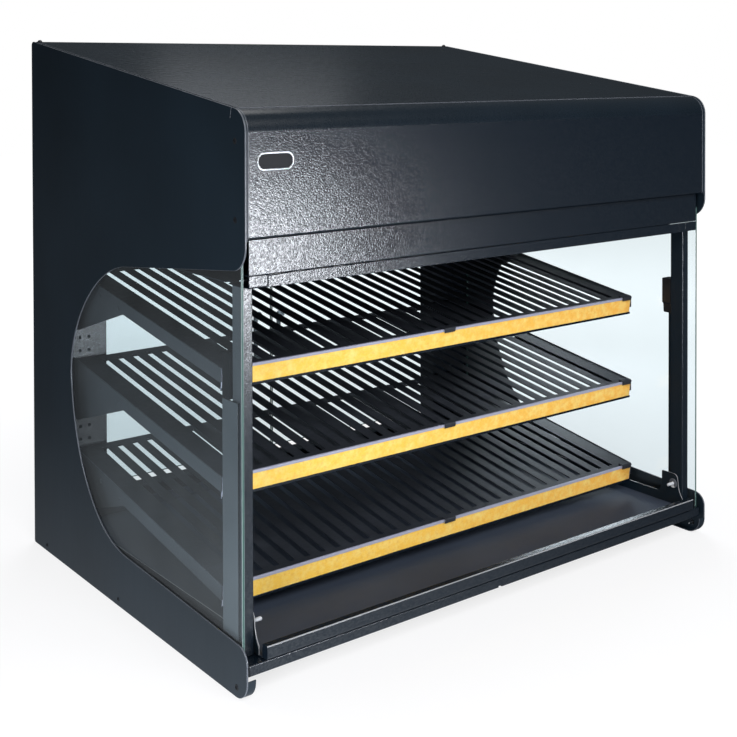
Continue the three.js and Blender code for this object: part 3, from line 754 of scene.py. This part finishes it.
def glass_stop():
    """Small square tab near the foot of the post flange."""
    post = span("front_post_left")
    return block(post.x0 + 0.1, post.x0 + 3.4, 40, 54, 84, 100, 0.6)


def glass_clip():
    """Moulded two-step clip on the edge of the side glass."""
    box = span("glass_clip_left")
    outline = rounded([(box.x0, box.z1, 2), (box.x1, box.z1, 2), (box.x1, 391, 1),
                       (box.x1 - 3, 388, 1), (box.x1 - 4, box.z0, 3), (box.x0, box.z0, 1)], 5)
    body = push(outline, "y", box.y0, box.y1, edge=0.8, rounds=2)
    ridges = [block(box.x0 + 6, box.x1 - 2.5, box.y0 - 0.3, box.y0 + 1, z, z + 1.6, 0.3, 0.25)
              for z in (398, 404, 410, 416, 422)]
    return joined(body, *ridges)


def rear_post():
    """Perforated channel at the rear: a web with round holes, two flanges and a dark sheet behind the
    holes that is painted shade.
    """
    box = span("rear_post_left")
    hole_pitch = 21.6
    holes = [circle(x, top - row * hole_pitch, 2.6, 20)
             for top in (shelf.top - 42 for shelf in map(shelf_place, SHELVES))
             for row in range(3) for x in (50.4, 66.2)]
    web = push(rectangle(box.x0, box.x1, box.z0, box.z1, 0.6), "y", box.y0, box.y0 + SHEET, holes, 0.3)
    flange = rectangle(box.y0 + 0.5, box.y1, box.z0 + 0.05, box.z1 - 0.05, 0.6)
    flanges = [push(flange, "x", x, x + SHEET - 0.05, edge=0.3)
               for x in (box.x0 + 0.05, box.x1 - SHEET)]
    # Dark sheet behind the web, in the shaded colour: painted shade that darkens the holes.
    painted_shade_sheet = block(box.x0 + 1, box.x1 - 1, box.y0 + 4, box.y0 + 5.2, box.z0 + 0.3, box.z1 - 0.3,
                  0.2, 0.15)
    return joined(web, *flanges, paint(painted_shade_sheet, 1))


# -------------------- pan and lip
def base_pan():
    """Pan with a low front and rear wall, and side walls that rise to an ear at the front."""
    pan = span("base_pan")
    floor_top = 46.4
    line = rounded([(pan.y0, 60), (pan.y0, floor_top - SHEET, 3), (pan.y1, floor_top - SHEET, 3),
                    (pan.y1, 62)], 8)
    tray = push(folded(line), "x", pan.x0 + 0.6, pan.x1 - 0.6, edge=0.3)
    wall = rounded([(21, floor_top - 1, 1), (pan.y1, floor_top - 1, 1), (pan.y1, 62, 2), (74, 62, 6),
                    (66, 72, 8), (66, pan.z1, 2.5), (33, pan.z1, 9), (31, 79, 20), (27.5, 68, 20),
                    (21, 57, 2)], 8)
    left = push(wall, "x", pan.x0, pan.x0 + SHEET, edge=0.3)
    right = push(wall, "x", pan.x1 - SHEET, pan.x1, edge=0.3)
    mesh = joined(tray, left, right)
    # The side walls' front edges are painted pale as a painted highlight, and the side walls' faces dark
    # as painted shade.
    paint(mesh, 1, lambda centre, normal: abs(normal.x) < 0.5 and centre.z > 50
          and (centre.x < pan.x0 + 2 or centre.x > pan.x1 - 2))
    return paint(mesh, 2, lambda centre, normal: abs(normal.x) > 0.5)


def front_lip():
    """Hemmed lip: front face, rounded lower edge and a rolled hem along the top."""
    lip = span("front_lip")
    line = rounded([(lip.y1, lip.z0), (lip.y0, lip.z0, 4), (lip.y0, lip.z1, 1.8),
                    (lip.y1, lip.z1, 1.2), (lip.y1, lip.z1 - 5)], 8)
    front = push(folded(line[::-1]), "x", lip.x0 + 0.2, lip.x1 - 0.2, edge=0.3)
    end_wall = rounded([(lip.y0 + 0.1, lip.z0 + 0.1, 4), (lip.y1 - 0.1, lip.z0 + 0.1, 0.5),
                        (lip.y1 - 0.1, lip.z1 - 0.1, 1.5), (lip.y0 + 0.1, lip.z1 - 0.1, 1.5)], 6)
    ends = [push(end_wall, "x", x, x + 1.2, edge=0.3) for x in (lip.x0, lip.x1 - 1.2)]
    hem = 1.8
    # The narrow rounding on top of the hem is painted pale, a painted highlight.
    return paint(joined(front, *ends), 1, lambda centre, normal: centre.z > lip.z1 - hem
                 and centre.y < lip.y0 + hem and normal.z > 0.3 and normal.y < -0.2)


def pan_pin():
    """Bright grooved pin on a flat dark head against the pan wall."""
    box = span("pan_pin_left")
    length, head = box.x1 - box.x0, 1.6
    pin = turned([(0, 0), (7.6, 0), (8, 0.4), (8, 1.2), (7.6, head), (3.0, 1.7), (2.6, 2.1), (2.6, 5),
                  (2.2, 5.3), (2.2, 6.1), (2.6, 6.4), (2.6, length - 1), (1.9, length), (0, length)])
    moved(pin, at(box.x0, (box.y0 + box.y1) / 2, (box.z0 + box.z1) / 2, math.pi / 2))
    return paint(pin, 1, lambda centre, normal: centre.x < box.x0 + head + 0.05)


# -------------------- shelves
Shelf = namedtuple("Shelf", "x y top width")


def shelf_place(name):
    """Origin and width of a shelf: its front top edge over the left bracket."""
    channel = span(f"price_channel_{name}")
    channel_depth = 3.2
    return Shelf(channel.x0, channel.y0, channel.z1 - channel_depth * math.sin(SHELF_SLOPE),
                 channel.x1 - channel.x0)


def sloped(mesh, shelf):
    """Brings a mesh from the shelf's own sloping frame to its place."""
    return moved(mesh, at(shelf.x, shelf.y, shelf.top, SHELF_SLOPE, "X"))


def shelf_bracket(name):
    """Upright sheet beside the deck: a sloping rail that deepens into a riveted gusset."""
    shelf = shelf_place(name)
    box = span(f"shelf_bracket_{name}_left")
    rail, gusset_start, fall = 20.5, 421, math.tan(math.radians(17.5))
    back, front = box.y1, shelf.y + 3

    def height(y):
        return shelf.top + (y - shelf.y) * math.tan(SHELF_SLOPE)

    low = height(gusset_start) - rail
    deep = low - fall * (back - 10 - gusset_start)
    profile = rounded([(front, height(front) - rail, 2), (gusset_start, low, 8), (back - 10, deep, 3),
                       (back, deep, 0.5), (back, height(back), 0.5), (front, height(front), 2)], 6)
    web = push(profile, "x", shelf.x - 2, shelf.x, edge=0.35)
    start, end = front + 5, gusset_start - 6
    lower = [(y, height(y) - rail) for y in (start, end)]
    upper = [(y, height(y) - rail + SHEET) for y in (end, start)]
    ledge = push(rounded(lower + upper), "x", shelf.x - 1, shelf.x + 10, edge=0.3)
    foot = block(shelf.x - 1.9, shelf.x + 8, back - 2, back, height(back) - 70, height(back) - 26, 0.4)
    rivets = [moved(rivet(), at(shelf.x - 2, y, height(y) - 16, math.pi / 2)) for y in (436, 502)]
    mesh = joined(web, ledge, foot, *rivets)
    # Faces that point up or down are painted in the paler edge colour as a painted highlight, and the
    # outer side in the paler bracket grey as painted light.
    paint(mesh, 1, lambda centre, normal: abs(normal.x) < 0.5 and abs(normal.z) > 0.6)
    return paint(mesh, 2, lambda centre, normal: normal.x < -0.5)


def shelf_deck(shelf):
    """Slotted deck with turned-down sides and rear, and hooks over the label holder."""
    start, depth, top, side = 3.6, 474, -1.0, CLEAR
    pitch, slot, count, hook = 27, 10, 29, 22
    first = (shelf.width - (count - 1) * pitch - slot) / 2
    slots = [rectangle(x, x + slot, 14, depth - 16, 2, 4)
             for x in (first + i * pitch for i in range(count))]
    plate = push(rectangle(side, shelf.width - side, start, depth, 0.6), "z", top - SHEET, top, slots, 0.4)
    cheek = rectangle(start + 0.1, depth - 0.1, -18, top - 0.5, 1.5)
    cheeks = [push(cheek, "x", x, x + SHEET - 0.05, edge=0.3)
              for x in (side + 0.05, shelf.width - side - SHEET)]
    rear = push(rectangle(side + 1, shelf.width - side - 1, -12, top - 0.5, 1), "y",
                depth - SHEET - 0.1, depth - 0.1, edge=0.3)
    hook_line = rounded([(-1.2, -5), (-1.2, 1.5, 1.2), (8, 1.5)], 6)
    hook_places = (4, shelf.width / 2 - hook, shelf.width - hook - 4)
    hooks = [push(folded(hook_line, 1.0), "x", x, x + hook, edge=0.25) for x in hook_places]
    feet = [block(x, x + hook, start, 8, top - 1, 1, 0.4, 0.3) for x in hook_places]
    return sloped(joined(plate, rear, *cheeks, *hooks, *feet), shelf)


def price_channel(shelf):
    """Plastic extrusion with a lip above and below that hold the label strip."""
    lip, height = 4.0, LABEL_HEIGHT
    section = rounded([(0, 0, 0.6), (0, -lip, 0.3), (0.7, -lip, 0.2), (0.7, -1, 0.2), (1.9, -1),
                       (1.9, 1 - height), (0.7, 1 - height, 0.2), (0.7, lip - height, 0.2),
                       (0, lip - height, 0.3), (0, -height, 0.6), (3.2, -height, 0.5), (3.2, 0, 0.5)], 4)
    mesh = push(section, "x", 0, shelf.width, edge=0.15)
    paint(mesh, 1, lambda centre, normal: centre.z < -height / 2)
    return sloped(mesh, shelf)


def price_label(shelf):
    strip = rectangle(2, shelf.width - 2, 1.4 - LABEL_HEIGHT, -1.3, 1.0)
    return sloped(push(strip, "y", 0.85, 1.75, edge=0.1), shelf)


# -------------------- rear doors
def door_glass():
    pane = span("rear_door_left")
    mesh = push(rectangle(pane.x0, pane.x1, pane.z0, pane.z1, 4), "y", pane.y0, pane.y1, edge=0.6)
    return paint(mesh, 1, lambda centre, normal: abs(normal.y) < 0.9)


def door_handle():
    """Bow handle: a bent round bar on two flanged feet."""
    box = span("door_handle_left")
    x, reach = (box.x0 + box.x1) / 2, box.y1 - 4.5
    low, high = box.z0 + 9, box.z1 - 9
    path = [(box.y0 + 1, low), (reach - 4, low), (reach, low + 1), (reach, low + 8),
            (reach, (low + high) / 2), (reach, high - 8), (reach, high - 1), (reach - 4, high),
            (box.y0 + 1, high)]
    bar = sweep([(x, y, z) for y, z in path], 4.2)
    foot = [(0, 0), (7.6, 0), (8, 0.5), (8, 1.6), (7.2, 2.4), (5, 3.2), (4.4, 3.8), (0, 3.8)]
    feet = [moved(turned(foot), at(x, box.y0, z, -math.pi / 2, "X")) for z in (low, high)]
    return joined(bar, *feet)


def door_pivot(which):
    """Clamp that grips the glass, with two set screws and the pin the door turns on."""
    box = span(f"door_pivot_{which}_left")
    pane = span("rear_door_left")
    front, back = pane.y0 - CLEAR, pane.y1 + CLEAR
    if which == "top":
        pin_z, body_z = (box.z1 - 9, box.z1), (box.z0, box.z1 - 8)
        bridge_z = (pane.z1 + CLEAR, body_z[1])
    else:
        pin_z, body_z = (box.z0, box.z0 + 9), (box.z0 + 8, box.z1)
        bridge_z = (body_z[0], pane.z0 - CLEAR)
    cheeks = [push(rectangle(box.x0, box.x1, *body_z, 2.5), "y", *ys, edge=0.6)
              for ys in ((box.y0, front), (back, box.y1))]
    bridge = push(rectangle(box.x0 + 0.7, box.x1 - 0.7, *bridge_z, 0.8), "y",
                  box.y0 + 1, box.y1 - 1, edge=0.3)
    screws = [moved(screw(3.0, 1.0, 1.4, 3), at(x, box.y1, sum(body_z) / 2, math.pi / 2, "X"))
              for x in (box.x0 + 11, box.x1 - 9)]
    pin = push(circle(box.x0 + 10, (pane.y0 + pane.y1) / 2, 3), "z", *pin_z, edge=0.5)
    return joined(*cheeks, bridge, *screws, pin)


# -------------------- controls
REAR_FACE = span("hood_rear_panel").y1
KNOB = span("thermostat_knob")
KNOB_X = (KNOB.x0 + KNOB.x1) / 2
KNOB_Z = (KNOB.z0 + KNOB.z1) / 2
ROCKERS = {"power": 130, "light": 175}      # x of each rocker's middle
ROCKER_Z = 700


def rocker(x):
    """Rocker cap with a dished face, and an ink bar for on and a ring for off."""
    tilt = math.radians(8)
    arc = [(5 + 2 * (k / 8 - 1) ** 2, -13 + 26 * k / 16) for k in range(17)]
    cap = push([(-6, -13), *arc, (-6, 13)], "x", -10, 10, edge=0.6, rounds=2)
    bar = push(rectangle(-0.8, 0.8, 4.5, 9.5, 0.3), "y", 5.6, 6.3, edge=0.1)
    ring = push(circle(0, -7, 2.6), "y", 5.8, 6.4, [circle(0, -7, 1.7)], 0.1)
    mesh = joined(cap, paint(bar, 1), paint(ring, 1))
    return moved(mesh, at(x, REAR_FACE - 2, ROCKER_Z, -tilt, "X"))


def rocker_frame(x):
    """Bezel round a rocker switch."""
    outer = rectangle(x - 13.5, x + 13.5, ROCKER_Z - 18.5, ROCKER_Z + 18.5, 3)
    inner = rectangle(x - 10.6, x + 10.6, ROCKER_Z - 14.6, ROCKER_Z + 14.6, 1)
    return push(outer, "y", REAR_FACE - 1, REAR_FACE + 2.2, [inner], 0.6)


def fluted(angle, radius, depth=0.0):
    flutes = 16
    return radius - depth * max(0.0, math.cos(flutes * angle)) ** 2


def thermostat_knob():
    """Skirted knob with grip flutes and a white pointer line."""
    profile = [(0, -14), (3, -14), (3, 0.6), (18.6, 0.6), (19, 1.0), (19, 3), (18.4, 3.6),
               (15.4, 4.3, 0.3), (14.6, 5.2, 0.9), (13.6, 12.6, 0.9), (13.0, 13.9, 0.5),
               (11.8, 14.6), (0, 14.6)]
    body = moved(turned(profile, 128, fluted), Matrix.Rotation(-math.pi / 2, 4, "X"))
    pointer = push(rectangle(-1.1, 1.1, 1.5, 11.5, 0.5), "y", 14.2, 15.2, edge=0.2)
    return moved(joined(body, paint(pointer, 1)), at(KNOB_X, REAR_FACE, KNOB_Z))


def dial_number(value, x, z):
    """A raised number read from behind the case, where +x is on the left."""
    text = bpy.data.curves.new("number", "FONT")
    text.body = str(value)
    text.size = 6.5
    text.align_x = "CENTER"
    text.align_y = "CENTER"
    text.extrude = 0.25
    upright = Matrix.Rotation(math.pi / 2, 4, "X")
    return moved(settled(mesh_from_curve(text)), at(x, REAR_FACE + 0.1, z, math.pi, "Z") @ upright)


def dial_scale():
    """Printed scale on the rear cover: a tick at each step and numbers from 1 to 6."""
    marks = []
    steps, first, sweep_angle, reach = 11, 225, 270, 30.5
    for k in range(steps):
        angle = math.radians(first - sweep_angle * k / (steps - 1))
        numbered = k % 2 == 0
        tick = push(rectangle(22.0, 25.5 if numbered else 24.0, -0.45, 0.45, 0.2), "y", -0.2, 0.35,
                    edge=0.08)
        marks.append(moved(tick, at(KNOB_X, REAR_FACE, KNOB_Z, -angle)))
        if numbered:
            marks.append(dial_number(k // 2 + 1, KNOB_X + reach * math.cos(angle),
                                     KNOB_Z + reach * math.sin(angle)))
    return joined(*marks)


def louvres():
    """Pressed hoods over the cooling slots of the rear cover."""
    hoods = []
    for i in range(10):
        x = WIDTH / 2 - 64 + i * 14
        line = rounded([(x + 3.6, 0), (x + 1.2, 2.8, 1.6), (x - 3.4, 2.9)], 6)
        hood = push(folded(line, 0.8), "z", 637, 713, edge=0.2)
        hoods.append(moved(hood, at(0, REAR_FACE - 0.3, 0)))
    return joined(*hoods)


def rear_screws():
    """Heads along the lower and the upper edge of the rear cover."""
    rows = {536: (-436, -300, -157, 0, 157, 300, 436), 800: (-436, -137, 137, 436)}
    return joined(*(moved(screw(3.8, 1.4, 1.6, 5), at(WIDTH / 2 + x, REAR_FACE, z, math.pi / 2, "X"))
                    for z, places in rows.items() for x in places))


def power_cord():
    """Cord coiled in the recess behind the hood, from a strain relief collar, with its plug in the middle.
    """
    plane = REAR_FACE + 9
    centre_x, centre_z, start_x, start_z = 700, 650, 800, 600
    outer = math.hypot(start_x - centre_x, start_z - centre_z)
    start_angle = math.atan2(start_z - centre_z, start_x - centre_x)
    turns, shrink, steps = 2.25, 52, 120
    path = []
    for i in range(steps + 1):
        t = i / steps
        angle = start_angle + t * turns * 2 * math.pi
        radius = outer - t * shrink
        path.append((centre_x + radius * math.cos(angle), plane, centre_z + radius * math.sin(angle)))
    cord = sweep(path, 4.4, sides=4)
    relief = [(0, -8), (6.4, -8), (6.4, 0), (11, 0.3), (11, 4), (8.6, 4.6), (8.6, 6), (7.6, 6.3),
              (7.6, 7.8), (8.4, 8.1), (8.4, 9.6), (7.0, 10), (7.0, 12), (0, 12)]
    collar = moved(turned(relief), at(start_x, REAR_FACE, start_z, -math.pi / 2, "X"))
    end_x, end_z = path[-1][0], path[-1][2]
    body = [(end_x + x, end_z + z, radius) for x, z, radius in
            ((-15, -16, 5), (15, -16, 5), (15, 8, 3), (11, 16, 2), (-11, 16, 2), (-15, 8, 3))]
    plug = push(rounded(body, 6), "y", plane - 8, plane + 8.5, edge=2.2, rounds=3)
    ribs = [block(end_x - 15.6, end_x + 15.6, plane - 5, plane + 5.5, z, z + 1.6, 1.5, 0.5)
            for z in (end_z + step for step in (-9, -5, -1, 3))]
    blades = [paint(push(rectangle(x - 3, x + 3, end_z + 14, end_z + 32, 1), "y",
                         plane - 0.8, plane + 0.8, edge=0.3), 1) for x in (end_x - 6, end_x + 6)]
    return joined(cord, collar, plug, *ribs, *blades)


def display_lamp():
    """Tubular lamp with metal end caps."""
    box = span("display_lamp")
    length = box.x1 - box.x0
    cap = 14
    tube = turned([(0, 0), (5.6, 0), (6, 0.5), (6, cap), (5, cap + 0.6), (5, length - cap - 0.6),
                   (6, length - cap), (6, length - 0.5), (5.6, length), (0, length)])
    moved(tube, at(box.x0, (box.y0 + box.y1) / 2, (box.z0 + box.z1) / 2, math.pi / 2))
    return paint(tube, 1, lambda centre, normal: min(centre.x - box.x0, box.x1 - centre.x) < cap + 0.3)


# -------------------- the object
put_pair("side_panel", side_panel(), [SATIN, EDGE_HIGHLIGHT])
side_screws()
single("hood_shell", hood_shell(), [HAMMERED, ROOF, EDGE_HIGHLIGHT])
single("hood_front_band", hood_front_band(), [HAMMERED])
single("air_nozzle", air_nozzle(), [HAMMERED])
put_pair("nozzle_end", nozzle_end(), [HAMMERED])
put_pair("outlet_block", outlet_block(), [HAMMERED], slot="hammered_paint")
put_pair("roof_screw", roof_screw(), [PLASTIC], slot="black_plastic")
for place in (360, 622):
    put_pair(f"edge_screw_{place}", edge_screw(place), [PLASTIC], slot="black_plastic")
put("blank_badge", badge(), [PLATE, STEEL])

put_pair("side_glass", side_glass(), [GLASS, GLASS_EDGE, GLASS_ARRIS])
put_pair("front_post", front_post(), [HAMMERED, POST_SIDE_LIT, SHADED])
put_pair("glass_stop", glass_stop(), [PLASTIC], slot="black_plastic")
put_pair("glass_clip", glass_clip(), [PLASTIC])
put_pair("rear_post", rear_post(), [HAMMERED, SHADED])
single("base_pan", base_pan(), [PAN, HEM_HIGHLIGHT, SHADED])
single("front_lip", front_lip(), [HAMMERED, HEM_HIGHLIGHT])
put_pair("pan_pin", pan_pin(), [PIN_STEEL, BRACKET])

for shelf_name in SHELVES:
    shelf = shelf_place(shelf_name)
    put_pair(f"shelf_bracket_{shelf_name}", shelf_bracket(shelf_name), [PRESSED, EDGE_HIGHLIGHT, BRACKET])
    single(f"shelf_deck_{shelf_name}", shelf_deck(shelf), [PRESSED])
    single(f"price_channel_{shelf_name}", price_channel(shelf), [CHANNEL, HAMMERED])
    single(f"price_label_{shelf_name}", price_label(shelf), [LABEL])

DOORS = ("door_left", "door_right")
put_pair("rear_door", door_glass(), [GLASS, GLASS_EDGE], DOORS)
put_pair("door_handle", door_handle(), [STEEL], DOORS)
put_pair("door_pivot_top", door_pivot("top"), [STEEL], DOORS)
put_pair("door_pivot_bottom", door_pivot("bottom"), [STEEL], DOORS)

single("power_rocker", rocker(ROCKERS["power"]), [RED, WHITE_INK], "power_switch")
single("light_rocker", rocker(ROCKERS["light"]), [PLASTIC, WHITE_INK], "light_switch")
single("thermostat_knob", thermostat_knob(), [PLASTIC, WHITE_INK], "thermostat")
for place in ROCKERS.values():
    put(f"rocker_frame_{place}", rocker_frame(place), [PLASTIC])
put("dial_scale", dial_scale(), [WHITE_INK])
put("rear_louvres", louvres(), [HAMMERED])
put("rear_screws", rear_screws(), [STEEL])
single("power_cord", power_cord(), [RUBBER, STEEL])
single("display_lamp", display_lamp(), [LAMP, STEEL])

KEPT = {
    "hood_ceiling": PRESSED, "hood_rear_panel": HAMMERED, "base_shell": HAMMERED,
    "blower_housing": ZINC, "blower_impeller": ZINC, "blower_motor": ZINC, "air_heater": STEEL,
}
for node, material in KEPT.items():
    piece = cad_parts[node]
    piece.data.materials.clear()
    piece.data.materials.append(material)
    weld = piece.modifiers.new("weld", "WELD")
    weld.merge_threshold = SEAM * MM
    soften = piece.modifiers.new("soften", "BEVEL")
    soften.width = 0.3 * MM
    soften.segments = 2
    soften.angle_limit = SMOOTH_ANGLE
    piece.modifiers.new("even_shading", "WEIGHTED_NORMAL")


# -------------------- floor, light and camera
CAMERA_PLACE = (-1.2694, -1.6385, 0.8020)
CAMERA_TURN = (89.098, 0.133, -37.648)      # degrees
CAMERA_SHIFT = -0.384
CAMERA_LENS = 59.81
POOL_CENTRE = (-460, -400, 0)               # with y at half its length


def make_floor():
    """Pale floor that brightens outwards. Reflections and bounced light see a soft pool of
    light around the front left corner instead."""
    half = 9.0
    mesh = bpy.data.meshes.new("floor")
    corners = [(-half, -half, 0), (half, -half, 0), (half, half, 0), (-half, half, 0)]
    mesh.from_pydata(corners, [], [(0, 1, 2, 3)])
    floor = bpy.data.objects.new("floor", mesh)
    scene.collection.objects.link(floor)

    s = Shader("floor")
    ray = s.node("LightPath").outputs
    away = s.distance(s.place, (0, 0, 0))
    shaded = s.node("BsdfDiffuse", {"Color": (0.24, 0.24, 0.25, 1)})
    glow = s.node("Emission", {"Strength": s.spread(away, 700, 2400, 0.78, 1.0)})
    seen = s.node("AddShader", {0: shaded.outputs[0], 1: glow.outputs[0]})
    pool = s.spread(s.distance(s.stretched(1, 0.5, 1), POOL_CENTRE), 80, 1250, 1, 0)
    fall = s.math("POWER", pool, 2.2)
    strength = s.node("Mix", {"Factor": ray["Is Glossy Ray"], "A": s.spread(fall, 0, 1, 0.2, 2.2),
                              "B": s.spread(fall, 0, 1, 0.075, 0.75)}).outputs["Result"]
    bounced = s.node("Emission", {"Color": (0.88, 0.94, 1, 1), "Strength": strength})
    mesh.materials.append(s.output(s.blend(ray["Is Camera Ray"], bounced, seen)))


def make_world():
    """White behind the object; reflections see a soft grey room instead."""
    s = Shader("studio", bpy.data.worlds)
    height = s.component(s.node("TexCoord").outputs["Generated"], "Z")
    room = s.node("Background", {"Color": (0.84, 0.93, 1.0, 1),
                                 "Strength": s.spread(height, 0, 0.8, 0.012, 0.12)})
    white = s.node("Background", {"Color": (1, 1, 1, 1)})
    camera_ray = s.node("LightPath").outputs["Is Camera Ray"]
    scene.world = s.output(s.blend(camera_ray, room, white), "OutputWorld")


def softbox(name, place, target, size, power, colour=(1, 1, 1), mirrored=True):
    """Rectangular light that the camera doesn't see; reflections see it only if mirrored."""
    light = bpy.data.lights.new(name, "AREA")
    light.shape = "RECTANGLE"
    light.size, light.size_y = size
    light.energy = power
    light.color = colour
    holder = bpy.data.objects.new(name, light)
    scene.collection.objects.link(holder)
    holder.location = place
    holder.rotation_euler = (Vector(target) - Vector(place)).to_track_quat("-Z", "Y").to_euler()
    holder.visible_camera = False
    holder.visible_glossy = mirrored


def make_camera():
    lens = bpy.data.cameras.new("camera")
    lens.lens = CAMERA_LENS
    lens.sensor_width = 36
    camera = bpy.data.objects.new("camera", lens)
    scene.collection.objects.link(camera)
    camera.location = CAMERA_PLACE
    camera.rotation_euler = [math.radians(angle) for angle in CAMERA_TURN]
    scene.camera = camera
    # The shifted lens belongs to this one place only, so other views stay centred.
    driver = lens.driver_add("shift_y").driver
    place = driver.variables.new()
    place.name = "x"
    place.targets[0].id = camera
    place.targets[0].data_path = "location.x"
    driver.expression = f"{CAMERA_SHIFT} if abs(x - {CAMERA_PLACE[0]}) < 0.001 else 0"


make_floor()
make_world()
softbox("key", (-0.4, -2.7, 2.5), (0, 0, 0.3), (2.6, 1.6), 92)
softbox("front_fill", (-1.25, -0.8, 0.22), (-0.45, -0.25, 0.05), (0.5, 0.3), 9, (0.97, 0.98, 1), False)
softbox("fascia_strip", (0.8, -2.6, 0.14), (-0.4, -0.34, 0.58), (0.7, 0.34), 21, (0.91, 0.94, 1))
softbox("roof_glow", (0.45, 1.0, 1.46), (-0.4, -0.3, 0.75), (0.5, 0.26), 0.4, (0.9, 0.94, 1))
softbox("pan_glow", (1.24, 0.66, 0.5), (0.3, -0.2, 0.05), (0.3, 0.24), 1.8, (0.9, 0.94, 1))
softbox("top", (0, 0.6, 3.2), (0, 0, 0.3), (2.4, 1.6), 40)
softbox("rear_fill", (1.6, 2.4, 1.5), (0, 0.3, 0.4), (1.6, 1.2), 38, (0.95, 0.97, 1), False)
make_camera()
scene.view_settings.view_transform = "Standard"
